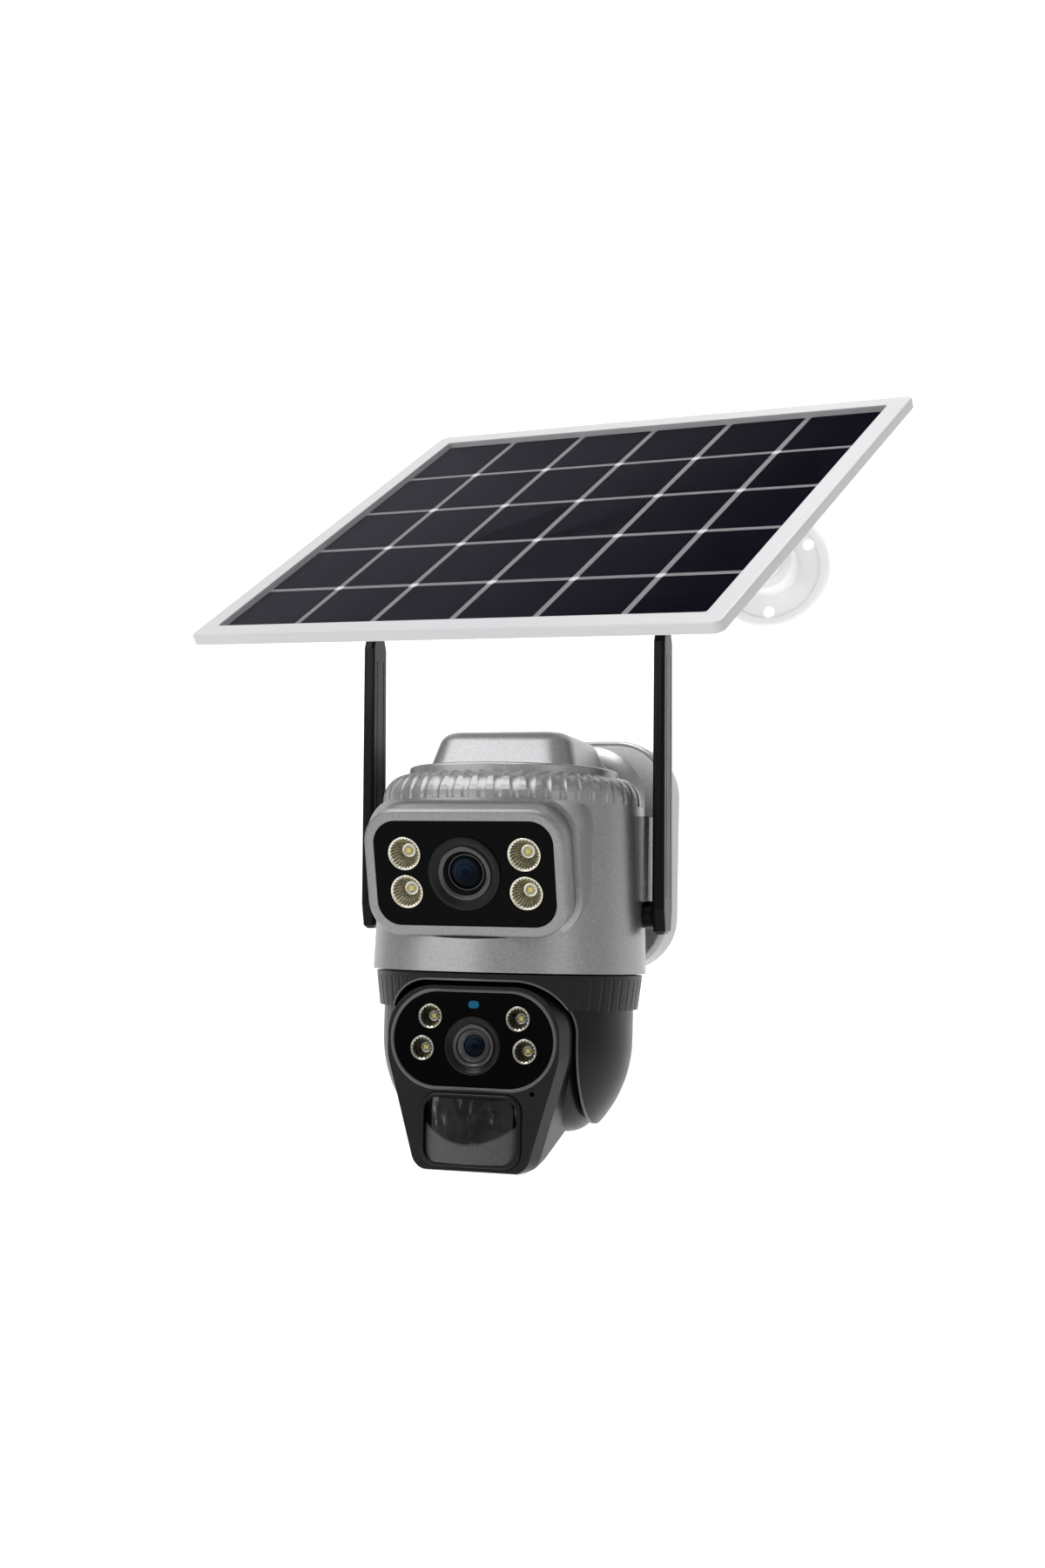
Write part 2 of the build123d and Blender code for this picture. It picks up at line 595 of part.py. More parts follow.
def yoke_shell():
    """Ring and dome with the fork's two arms, a skin over a hollow. The skin lines the head's space."""
    shell = dome()
    cavity = dome(SKIN)
    for piece in head_room():
        shell -= piece
    for piece in head_room(SKIN):
        cavity -= piece
    shell -= cavity
    shell -= rod_z(YOKE_R_LOW - 1.2, -3.6, 5)
    for side in (-1, 1):
        x0, x1 = sorted((side * 40, side * 50))
        shell -= rod_x(6.0, x0, x1, 0, TILT_Z)
    mid_r = (YOKE_R_TOP + YOKE_R_LOW) / 2
    lean = math.degrees(math.atan2(YOKE_R_TOP - YOKE_R_LOW, YOKE_RING_H))
    flute = Pos(mid_r + 3.5, 0, YOKE_TOP_Z - YOKE_RING_H / 2 - 2.5) * Rot(0, lean, 0) * Cylinder(4.0, YOKE_RING_H)
    shell -= around(flute, range(-60, 241, 6))
    return shell


def pan_hub():
    deck = rod_z(YOKE_R_LOW - 1.3, YOKE_TOP_Z - 2.1, YOKE_TOP_Z)
    hub = deck + rod_z(HUB_R, YOKE_TOP_Z - 0.1, 11.0)
    hub -= rod_z(HUB_R - 5, YOKE_TOP_Z - 3, 8.0) - rod_z(11.0, -5, 9)
    hub -= rod_z(7.9, -5, 12)
    for x, y in hub_screw_places():
        hub -= rod_z(1.2, 3, 12, x, y)
    return hub


def hub_screw_places():
    return [(14.6 * math.cos(math.radians(a)), 14.6 * math.sin(math.radians(a))) for a in (30, 150, 270)]


def pan_gear():
    wheel = gear(PAN_GEAR_TEETH, PAN_MODULE, 5.0, PAN_PINION_ANGLE)
    wheel = Pos(0, 0, 11.0) * wheel - rod_z(8.2, 10, 17)
    for x, y in hub_screw_places():
        wheel -= rod_z(1.6, 10, 17, x, y)
    return wheel


def hub_screws():
    return [Pos(x, y, 16.0) * pan_screw(9.5, 2.7, 1.8, 1.2) for x, y in hub_screw_places()]


GEAR_X = 31.0            # tilt gear stands from here to GEAR_X + 4 inside the head


def tilt_shafts():
    """Two shafts fixed in the fork's arms; the head turns on them. The right one holds the gear."""
    shafts = []
    for side in (-1, 1):
        inner = GEAR_X - 1.0 if side > 0 else 37.5
        shaft = rod_x(4.0, inner, 52.0, 0, TILT_Z)
        shaft += rod_x(6.0, FORK_HALF, FORK_HALF + SKIN, 0, TILT_Z)
        shaft += rod_x(8.5, FORK_HALF + SKIN, FORK_HALF + SKIN + 2.0, 0, TILT_Z)
        shaft -= rod_x(2.0, inner - 1, 53.0, 0, TILT_Z)
        shafts.append(shaft if side > 0 else shaft.mirror(Plane.YZ))
    return shafts


TILT_MOTOR_ANGLE = 200.0  # where the tilt motor stands round the tilt axis, degrees


def tilt_motor_place():
    gap = TILT_MODULE * (TILT_GEAR_TEETH + TILT_PINION_TEETH) / 2
    a = math.radians(TILT_MOTOR_ANGLE)
    return gap * math.cos(a), TILT_Z + gap * math.sin(a)


def gear_x(teeth, module, width, tooth_at):
    """gear() turned so that its axis is X; tooth_at is measured from +Y towards +Z."""
    wheel = gear(teeth, module, width, tooth_at)
    return Plane(origin=(0, 0, 0), x_dir=(0, 1, 0), z_dir=(1, 0, 0)).location * wheel


def tilt_gear():
    wheel = Pos(GEAR_X, 0, TILT_Z) * gear_x(TILT_GEAR_TEETH, TILT_MODULE, 4.0, TILT_MOTOR_ANGLE)
    return wheel - rod_x(4.0, GEAR_X - 1, GEAR_X + 5, 0, TILT_Z)


def tilt_pinion():
    y, z = tilt_motor_place()
    wheel = gear_x(TILT_PINION_TEETH, TILT_MODULE, 4.4, TILT_MOTOR_ANGLE + 180 + 180 / TILT_PINION_TEETH)
    return Pos(GEAR_X - 0.2, y, z) * (wheel + rod_x(1.5, -9.0, 1.0))


def tilt_motor():
    y, z = tilt_motor_place()
    front = GEAR_X - 3.0
    can = rod_x(10.0, front - 19.0, front, y, z) + rod_x(3.2, front, front + 1.2, y, z)
    ears = block(front - 1.6, front, y - 14, y + 14, z - 3, z + 3)
    return can + ears - rod_x(1.5 + RUN_FIT, front - 9, front + 2, y, z)


# ---- head -------------------------------------------------------------------------------------------


def head_outline(grow):
    """Front view of the head: a wide oval round the window that narrows to the chin."""
    half = EYE_W / 2 + 2.6 + grow
    high = EYE_Z + EYE_H / 2 + 2.6 + grow
    low = CHIN_Z_LOW - grow * 0.5
    chin = CHIN_W / 2 + grow
    points = [(half, high), (half, EYE_Z - 8), (chin, low), (-chin, low), (-half, EYE_Z - 8), (-half, high)]
    sheet = make_face(Polyline(*points, close=True))
    by_height = sheet.vertices().sort_by(Axis.Y)
    sheet = fillet(by_height[-2:], 21.5 + grow)
    by_height = sheet.vertices().sort_by(Axis.Y)
    sheet = fillet(by_height[:2], 8.5 + grow)
    cheeks = [v for v in sheet.vertices() if abs(v.Y - (EYE_Z - 8)) < 0.01]
    return fillet(cheeks, 24.0 + grow)


def head_solid(inset=0.0):
    """Whole outer shape of the head, or the shape inside a wall of thickness inset."""
    outline = Plane.XZ * head_outline(HEAD_FLARE - inset)
    front = Plane.XZ * head_outline(-inset)
    flare_y = HEAD_FRONT_Y + HEAD_FLARE_DEPTH
    taper = loft([Pos(0, HEAD_FRONT_Y + inset, 0) * front, Pos(0, flare_y, 0) * outline], ruled=True)
    mask = Pos(0, HEAD_BACK_MASK_Y, 0) * extrude(outline, HEAD_BACK_MASK_Y - flare_y)
    ball = rod_x(HEAD_BALL_R - inset, -HEAD_HALF + inset, HEAD_HALF - inset, 0, TILT_Z)
    ball = fillet(ball.edges().filter_by(GeomType.CIRCLE), HEAD_BALL_ROUND - inset * 0.5)
    crown = TILT_Z + 26.6 - inset
    ball &= plate_y(2 * (HEAD_HALF - inset), 140, 23 - inset, -60, 60, z=crown - 70)
    whole = taper + mask + ball
    return whole & head_side(inset)


def head_side(inset):
    """Side view of the head: flat front, chin that slopes up to the ball, small flat back."""
    r = HEAD_BALL_R - inset
    touch = math.radians(73)
    back = math.radians(135)
    top = TILT_Z + 26.6 - inset
    points = [
        (HEAD_FRONT_Y - 1, top),
        (HEAD_FRONT_Y - 1, CHIN_Z_LOW + 0.6 + inset),
        (HEAD_FRONT_Y + 4, CHIN_Z_LOW - 0.4 + inset),
        (-r * math.cos(touch), TILT_Z - r * math.sin(touch)),
    ]
    for i in range(1, 9):
        a = touch + (back - touch) * i / 8
        points.append((-(r + 0.25) * math.cos(a), TILT_Z - (r + 0.25) * math.sin(a)))
    points.append((26.6 - inset, TILT_Z - 6))
    for i in range(9):
        a = math.radians(11.25 * i)
        points.append(((26.6 - inset) * math.cos(a), TILT_Z + (26.6 - inset) * math.sin(a)))
    outline = make_face(Plane.YZ * Polyline(*points, close=True))
    return Pos(-60, 0, 0) * extrude(outline, 120)


def head_rear_shell():
    rear = head_solid() - head_solid(SKIN)
    rear &= block(-60, 60, HEAD_SPLIT_Y, 60, -120, 20)
    for side in (-1, 1):
        x0, x1 = sorted((side * 36, side * 46))
        rear -= rod_x(4.0 + RUN_FIT, x0, x1, 0, TILT_Z)
        collar = rod_x(7.5, min(side * 38.5, side * 41), max(side * 38.5, side * 41), 0, TILT_Z)
        rear += collar - rod_x(4.0 + RUN_FIT, -50, 50, 0, TILT_Z)
    return rear


def lower_led_places():
    return [(-20.8, -20.6), (20.8, -20.6), (-24.3, -35.0), (24.3, -35.0)]


def head_front_shell():
    front = head_solid() - head_solid(SKIN)
    front &= block(-60, 60, -80, HEAD_SPLIT_Y - 0.02, -120, 20)
    y0 = HEAD_FRONT_Y
    eye = plate_y(EYE_W, EYE_H, EYE_H / 2 - 0.1, y0 - 2, y0 + 1.9, z=EYE_Z)
    front -= eye
    front -= plate_y(EYE_W - 5, EYE_H - 5, EYE_H / 2 - 2.6, y0 - 2, y0 + 4, z=EYE_Z)
    front -= plate_y(CHIN_W - 4, PIR_H + 4.6, 8, y0 - 3, y0 + 4, z=PIR_Z)
    front -= rod_y(1.1, y0 - 2, y0 + 4, 28.4, -53.7)
    return front


def head_window():
    y0 = HEAD_FRONT_Y
    pane = plate_y(EYE_W - 0.2, EYE_H - 0.2, EYE_H / 2 - 0.2, y0 + 0.4, y0 + 1.9, z=EYE_Z)
    for x, z in lower_led_places():
        pane -= rod_y(LOWER_LED_R, y0 - 2, y0 + 3, x, z)
    pane -= rod_y(LOWER_LENS_R, y0 - 2, y0 + 3, 0, LOWER_LENS_Z)
    pane -= plate_y(5.2, 3.5, 1.6, y0 - 2, y0 + 3, z=-14.8)
    return pane


def facing_front(shape, x, z, y):
    """Turn a shape drawn about Z so that it faces the front, and put it at x, z with its z = 0 at y."""
    return Plane(origin=(x, y, z), x_dir=(1, 0, 0), z_dir=(0, -1, 0)).location * shape


def indicator_light():
    return plate_y(5.0, 3.3, 1.5, HEAD_FRONT_Y + 0.2, HEAD_FRONT_Y + 6.5, z=-14.8)


def pir_frame():
    y0 = HEAD_FRONT_Y - 1.6
    frame = plate_y(CHIN_W - 4.4, PIR_H + 4.2, 7.8, y0, y0 + 5.0, z=PIR_Z)
    frame = fillet(frame.edges().group_by(Axis.Y)[0], 1.2)
    return frame - plate_y(PIR_W, PIR_H, 6.5, y0 - 1, y0 + 6, z=PIR_Z)


def pir_lens():
    """Curved motion-sensor lens that bulges out of its frame."""
    r = 34.0
    y_front = HEAD_FRONT_Y - 6.4
    outer = rod_z(r, PIR_Z - PIR_H / 2 + 0.15, PIR_Z + PIR_H / 2 - 0.15, 0, y_front + r)
    outer = outer & plate_y(PIR_W - 0.3, PIR_H - 0.3, 6.3, y_front - 1, HEAD_FRONT_Y + 3, z=PIR_Z)
    bowl = rod_z(r - 1.4, PIR_Z - PIR_H / 2 + 1.6, PIR_Z + PIR_H / 2 - 1.6, 0, y_front + r)
    bowl = bowl & block(-PIR_W / 2 + 1.6, PIR_W / 2 - 1.6, -80, HEAD_FRONT_Y + 9, -100, -40)
    return outer - bowl


def head_board():
    y0 = HEAD_FRONT_Y
    board = plate_y(66, 36, 14, y0 + 10.6, y0 + 12.2, z=EYE_Z)
    board -= rod_y(LOWER_LENS_R * 0.62 + 0.1, y0 + 8, y0 + 14, 0, LOWER_LENS_Z)
    for x, z in lower_led_places():
        board -= rod_y(1.7, y0 + 8, y0 + 14, x, z)
    board += block(-9, 9, y0 + 10.6, y0 + 12.2, PIR_Z - 7, EYE_Z - 17)
    board += rod_y(4.6, y0 + 5.0, y0 + 10.6, 0, PIR_Z)
    board += plate_y(22, 22, 2, y0 + 18.2, y0 + 19.8, z=LOWER_LENS_Z)
    for x in (-9.6, 9.6):
        board += block(x - 0.8, x + 0.8, y0 + 12.2, y0 + 18.2, LOWER_LENS_Z - 2, LOWER_LENS_Z + 2)
    return board


def speaker():
    return rod_x(12.0, -30.0, -25.0, -4, TILT_Z - 14) + rod_x(7.0, -25.0, -20.5, -4, TILT_Z - 14)


# ---- solar panel and its bracket --------------------------------------------------------------------

YAWED_X = Vector(1, 0, 0).rotate(Axis.Z, PANEL_YAW)
YAWED_Y = Vector(0, 1, 0).rotate(Axis.Z, PANEL_YAW)
PANEL_NORMAL = Vector(0, 0, 1).rotate(Axis.X, PANEL_TILT).rotate(Axis.Z, PANEL_YAW)
TILTED = Plane(origin=PANEL_CENTRE, x_dir=YAWED_X, z_dir=PANEL_NORMAL)
ROLLED = TILTED.location * Rot(0, 0, PANEL_ROLL)
KNUCKLE = PANEL_CENTRE - PANEL_NORMAL * KNUCKLE_DROP


def bracket_disc():
    """Wall disc with a raised rim, three screw holes and the boss that the arm turns in."""
    back = WALL_Y
    front = WALL_Y - DISC_T
    disc = rod_y(DISC_R, front, back, DISC_X, DISC_Z)
    disc = fillet(disc.edges().filter_by(GeomType.CIRCLE).sort_by(Axis.Y)[0], 2.4)
    disc -= rod_y(DISC_R - 4.5, front - 1, front + 1.2, DISC_X, DISC_Z)
    boss = rod_y(BOSS_R, front - BOSS_L + 1, front + 3, DISC_X, DISC_Z)
    boss = fillet(boss.edges().filter_by(GeomType.CIRCLE).sort_by(Axis.Y)[0], 2.0)
    body = disc + boss
    body -= rod_y(ARM_R + RUN_FIT, front - BOSS_L - 2, back + 1, DISC_X, DISC_Z)
    body -= rod_y(12.6, back - 4.6, back + 1, DISC_X, DISC_Z)
    for a in (-90, 150, 30):
        x = DISC_X + DISC_HOLE_PCD / 2 * math.cos(math.radians(a))
        z = DISC_Z + DISC_HOLE_PCD / 2 * math.sin(math.radians(a))
        body -= rod_y(DISC_HOLE_R, front - 2, back + 1, x, z)
    return body


def bracket_arm():
    start = Vector(DISC_X, WALL_Y - 0.8, DISC_Z)
    first = Vector(DISC_X, 36.0, DISC_Z)
    last = KNUCKLE + YAWED_Y * 30
    end = KNUCKLE + YAWED_Y * 7
    path = FilletPolyline(start, first, last, end, radius=22)
    tube = sweep(Plane(origin=start, z_dir=(0, -1, 0)) * Circle(ARM_R), path=path)
    lug_frame = Plane(origin=KNUCKLE, x_dir=YAWED_Y, z_dir=YAWED_X)
    lug = lug_frame.location * (Cylinder(KNUCKLE_R, 8) + Pos(9, 0, 0) * Box(14, 12, 8))
    clear = lug_frame.location * (Cylinder(KNUCKLE_R + 0.6, 30) - Cylinder(KNUCKLE_R + 3, 8))
    arm = tube - clear + lug
    arm += rod_y(9.6, WALL_Y - DISC_T - BOSS_L - 1.6, WALL_Y - DISC_T - BOSS_L + 0.7, DISC_X, DISC_Z)
    return arm - lug_frame.location * Cylinder(2.5 + RUN_FIT, 40)


def arm_washer():
    """Retaining washer screwed on the arm's end, behind the disc."""
    return rod_y(12.2, WALL_Y - 4.4, WALL_Y - 2.0, DISC_X, DISC_Z) - rod_y(
        ARM_R, WALL_Y - 6, WALL_Y + 1, DISC_X, DISC_Z)


CLEVIS = Plane(origin=KNUCKLE, x_dir=YAWED_X, z_dir=PANEL_NORMAL).location
STUD_R = 3.0
JUNCTION_Y = 66.0
FOOT_LOW = 15.7


def clevis():
    """Fork over the arm's lug, with the round table that the panel's foot turns on."""
    ears = []
    for side in (-1, 1):
        ear = rod_x(KNUCKLE_R, 4.3, 8.5) + block(4.3, 8.5, -KNUCKLE_R, KNUCKLE_R, 0, 12.6)
        ears.append(ear if side > 0 else ear.mirror(Plane.YZ))
    table = rod_z(15.0, 11.4, FOOT_LOW - 0.3)
    table = chamfer(table.edges().sort_by(Axis.Z)[0], 1.0)
    fork = ears[0] + ears[1] + table
    fork -= rod_x(2.5, -20, 20)
    fork -= rod_z(STUD_R + RUN_FIT, 9, 20)
    fork -= rod_z(6.2, 9, 12.8)
    return CLEVIS * fork


def knuckle_bolt():
    """Bolt through the knuckle, with a six-lobed hand knob moulded on its left end."""
    knob = rod_x(8.0, -17.5, -8.5)
    for a in range(0, 360, 60):
        knob -= rod_x(2.6, -18, -11.0, 9.0 * math.cos(math.radians(a)), 9.0 * math.sin(math.radians(a)))
    return CLEVIS * (knob + rod_x(2.5, -9, 13.4))


def foot_plate():
    """Round foot under the panel; its stud turns in the clevis table."""
    foot = rod_z(24.0, FOOT_LOW, FOOT_LOW + 3.2)
    foot = chamfer(foot.edges().sort_by(Axis.Z)[0], 0.8)
    foot += rod_z(STUD_R, 10.9, FOOT_LOW + 1)
    foot += rod_z(5.8, 9.8, 11.0)
    for x, y in foot_screw_places():
        foot -= rod_z(1.7, FOOT_LOW - 1, FOOT_LOW + 5, x, y)
    return CLEVIS * foot


def foot_screw_places():
    return [(19 * math.cos(math.radians(a)), 19 * math.sin(math.radians(a))) for a in (45, 135, 225, 315)]


def foot_screws():
    screws = []
    for x, y in foot_screw_places():
        screws.append(CLEVIS * Pos(x, y, FOOT_LOW) * Rot(180, 0, 0) * pan_screw(7.0, 3.0, 1.6, 1.4))
    return screws


def on_panel(shape):
    """Place a shape drawn with z = 0 on the panel's front face."""
    return ROLLED * shape


def panel_frame():
    """Tray with a thin rim, and a shallow ribbed box set in from the edge of its back."""
    tray = plate_z(PANEL_W, PANEL_H, 4, -PANEL_RIM_T, 0)
    tray = fillet(tray.edges().group_by(Axis.Z)[-1], 1.0)
    inner_w = PANEL_W - 2 * PANEL_BORDER
    inner_h = PANEL_H - 2 * PANEL_BORDER
    tray -= plate_z(inner_w, inner_h, 1.5, -3.2, 1)
    box_w = PANEL_W - 2 * PANEL_BOX_INSET
    box_h = PANEL_H - 2 * PANEL_BOX_INSET
    tray += plate_z(box_w, box_h, 8, -PANEL_T, -PANEL_RIM_T)
    tray -= plate_z(box_w - 4.4, box_h - 4.4, 5.8, -PANEL_T - 1, -PANEL_RIM_T)
    tray += plate_z(58, 58, 6, -PANEL_T, -PANEL_RIM_T)
    tray += plate_z(60, 42, 6, -PANEL_T, -PANEL_RIM_T, 0, JUNCTION_Y)
    for x in (-90, -45, 45, 90):
        tray += block(x - 0.9, x + 0.9, 1 - box_h / 2, box_h / 2 - 1, 3 - PANEL_T, -PANEL_RIM_T)
    for y in (-75, -38):
        tray += block(1 - box_w / 2, box_w / 2 - 1, y - 0.9, y + 0.9, 3 - PANEL_T, -PANEL_RIM_T)
    tray = on_panel(tray)
    for x, y in foot_screw_places():
        tray -= CLEVIS * rod_z(1.4, FOOT_LOW, FOOT_LOW + 8.5, x, y)
    return tray


def panel_glass():
    return on_panel(plate_z(PANEL_W - 2 * PANEL_BORDER - 0.3, PANEL_H - 2 * PANEL_BORDER - 0.3, 1.4,
                            -2.8, -0.5))


def solar_cells():
    inner_w = PANEL_W - 2 * PANEL_BORDER - 0.8
    inner_h = PANEL_H - 2 * PANEL_BORDER - 0.8
    pitch_x = (inner_w + CELL_GAP) / CELL_COLUMNS
    pitch_y = (inner_h + CELL_GAP) / CELL_ROWS
    cells = []
    for i in range(CELL_COLUMNS):
        for j in range(CELL_ROWS):
            x = (i - (CELL_COLUMNS - 1) / 2) * pitch_x
            y = (j - (CELL_ROWS - 1) / 2) * pitch_y
            cell = Pos(x, y, -3.0) * Box(pitch_x - CELL_GAP, pitch_y - CELL_GAP, 0.4)
            cells.append(on_panel(cell))
    return cells


def junction_box():
    low = -PANEL_T - 13
    box = plate_z(58, 40, 5, low, -PANEL_T, 0, JUNCTION_Y)
    box = fillet(box.edges().group_by(Axis.Z)[0], 2.0)
    box -= plate_z(52, 34, 3, low + 2.2, -PANEL_T + 1, 0, JUNCTION_Y)
    box -= rod_x(5.0, 20, 40, JUNCTION_Y, low + 6.6)
    return on_panel(box)


def panel_gland():
    """Screwed gland on the junction box, where the panel's lead would leave."""
    z = -PANEL_T - 6.4
    gland = rod_x(5.0, 26.5, 31.0, JUNCTION_Y, z)
    hexagon = Pos(0, JUNCTION_Y, z) * extrude(Plane.YZ.offset(29.0) * RegularPolygon(5.8, 6), 4.0)
    gland += hexagon + rod_x(4.6, 32.5, 39.0, JUNCTION_Y, z)
    return on_panel(gland - rod_x(2.2, 20, 45, JUNCTION_Y, z))


# ---- every piece, by node ---------------------------------------------------------------------------


def upper_cups():
    return [FACE * Pos(x, y, -0.9) * reflector(UPPER_LED_R - 0.1, 8.0) for x, y in upper_led_places()]


def upper_chips():
    return [FACE * Pos(x, y, -0.9) * led_chip(8.0, 2.4) for x, y in upper_led_places()]


def lower_cups():
    y = HEAD_FRONT_Y + 0.6
    return [facing_front(reflector(LOWER_LED_R - 0.1, 7.0), x, z, y) for x, z in lower_led_places()]


def lower_chips():
    y = HEAD_FRONT_Y + 0.6
    return [facing_front(led_chip(7.0, 1.8), x, z, y) for x, z in lower_led_places()]


def cover_screws():
    screws = []
    for x, z in cover_screw_places():
        place = Plane(origin=(x, REAR_BACK_Y + COVER_T, z), z_dir=(0, 1, 0)).location
        screws.append(place * pan_screw(10, 2.9, 1.6, 1.25))
    return screws


def motor_screws():
    x0, y0 = pan_motor_place()
    screws = []
    for a in (-1, 1):
        x = x0 + a * 17.5 * math.cos(math.radians(PAN_PINION_ANGLE + 90))
        y = y0 + a * 17.5 * math.sin(math.radians(PAN_PINION_ANGLE + 90))
        screws.append(Pos(x, y, 20.0) * pan_screw(8, 2.6, 1.6, 1.2))
    return screws


os.makedirs("parts", exist_ok=True)

nodes = {
    "wall_plate": wall_plate,
    "rear_cover": rear_cover,
    "rear_housing": rear_housing,
    "housing_screws": lambda: cover_screws() + motor_screws(),
    "battery_tray": battery_tray,
    "battery_cells": battery_cells,
    "power_button": lambda: side_button(3.1, POWER_BUTTON_Z),
    "reset_button": lambda: side_button(1.8, RESET_BUTTON_Z),
    "side_board": side_board,
    "upper_shell": upper_shell,
    "crown_ring": crown_ring,
    "top_cover": top_cover,
    "face_bezel": face_bezel,
    "upper_window": upper_window,
    "upper_lens_barrel": lambda: FACE * lens_barrel(UPPER_LENS_R - 0.1, 20.0, UPPER_LENS_R * 0.62),
    "upper_lens_glass": lambda: FACE * lens_glass((UPPER_LENS_R - 0.1) * 0.46, -4.0, 1.8),
    "upper_led_cups": upper_cups,
    "upper_led_chips": upper_chips,
    "upper_camera_board": upper_camera_board,
    "main_board": main_board,
    "base_plate": base_plate,
    "pan_bearing": pan_bearing,
    "pan_motor": pan_motor,
    "pan_pinion": pan_pinion,
    "antenna_sockets": lambda: [antenna_socket(-1), antenna_socket(1)],
    "antenna_left": lambda: antenna_blade(-1),
    "antenna_right": lambda: antenna_blade(1),
    "yoke_shell": yoke_shell,
    "pan_hub": pan_hub,
    "pan_gear": pan_gear,
    "hub_screws": hub_screws,
    "slip_ring": slip_ring,
    "tilt_shafts": tilt_shafts,
    "tilt_gear": tilt_gear,
    "tilt_motor": tilt_motor,
    "tilt_pinion": tilt_pinion,
    "head_front_shell": head_front_shell,
    "head_rear_shell": head_rear_shell,
    "head_window": head_window,
    "head_lens_barrel": lambda: facing_front(lens_barrel(LOWER_LENS_R - 0.1, 17.5, LOWER_LENS_R * 0.62),
                                             0, LOWER_LENS_Z, HEAD_FRONT_Y),
    "head_lens_glass": lambda: facing_front(lens_glass((LOWER_LENS_R - 0.1) * 0.46, -4.0, 1.5),
                                            0, LOWER_LENS_Z, HEAD_FRONT_Y),
    "head_led_cups": lower_cups,
    "head_led_chips": lower_chips,
    "indicator_light": indicator_light,
    "pir_frame": pir_frame,
    "pir_lens": pir_lens,
    "head_board": head_board,
    "speaker": speaker,
    "bracket_disc": bracket_disc,
    "bracket_arm": bracket_arm,
    "arm_washer": arm_washer,
    "clevis": clevis,
    "knuckle_bolt": knuckle_bolt,
    "foot_plate": foot_plate,
    "foot_screws": foot_screws,
    "panel_frame": panel_frame,
    "panel_glass": panel_glass,
    "solar_cells": solar_cells,
    "junction_box": junction_box,
    "panel_gland": panel_gland,
}

for node, make in nodes.items():
    made = make()
    if isinstance(made, list):
        made = Compound(children=[solid for piece in made for solid in piece.solids()])
    save(node, made)
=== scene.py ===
import json
import math
import bpy
import bmesh
from mathutils import Matrix, Vector


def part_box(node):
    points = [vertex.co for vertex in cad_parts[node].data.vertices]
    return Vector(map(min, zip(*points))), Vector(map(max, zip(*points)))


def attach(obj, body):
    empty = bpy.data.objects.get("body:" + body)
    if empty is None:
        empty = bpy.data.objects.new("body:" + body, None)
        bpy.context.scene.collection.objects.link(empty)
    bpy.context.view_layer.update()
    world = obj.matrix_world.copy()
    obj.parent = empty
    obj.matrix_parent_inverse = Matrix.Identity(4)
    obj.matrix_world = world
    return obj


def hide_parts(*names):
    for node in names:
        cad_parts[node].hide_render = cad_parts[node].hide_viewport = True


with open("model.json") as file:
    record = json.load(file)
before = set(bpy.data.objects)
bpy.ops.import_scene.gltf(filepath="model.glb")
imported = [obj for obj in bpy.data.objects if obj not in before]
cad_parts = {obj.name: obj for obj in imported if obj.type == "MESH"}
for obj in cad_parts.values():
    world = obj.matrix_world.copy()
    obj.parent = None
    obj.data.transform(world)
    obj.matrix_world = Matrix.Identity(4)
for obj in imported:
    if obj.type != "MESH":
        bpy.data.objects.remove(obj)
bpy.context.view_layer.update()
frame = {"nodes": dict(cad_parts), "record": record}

# Looks of the solar-powered security camera. Metres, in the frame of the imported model: the origin is
# the centre of the camera's wall screws, +Y goes into the wall and +Z up.

MM = 0.001
scene = bpy.context.scene

# ---- node material helpers -----------------------------------------------------------------------------


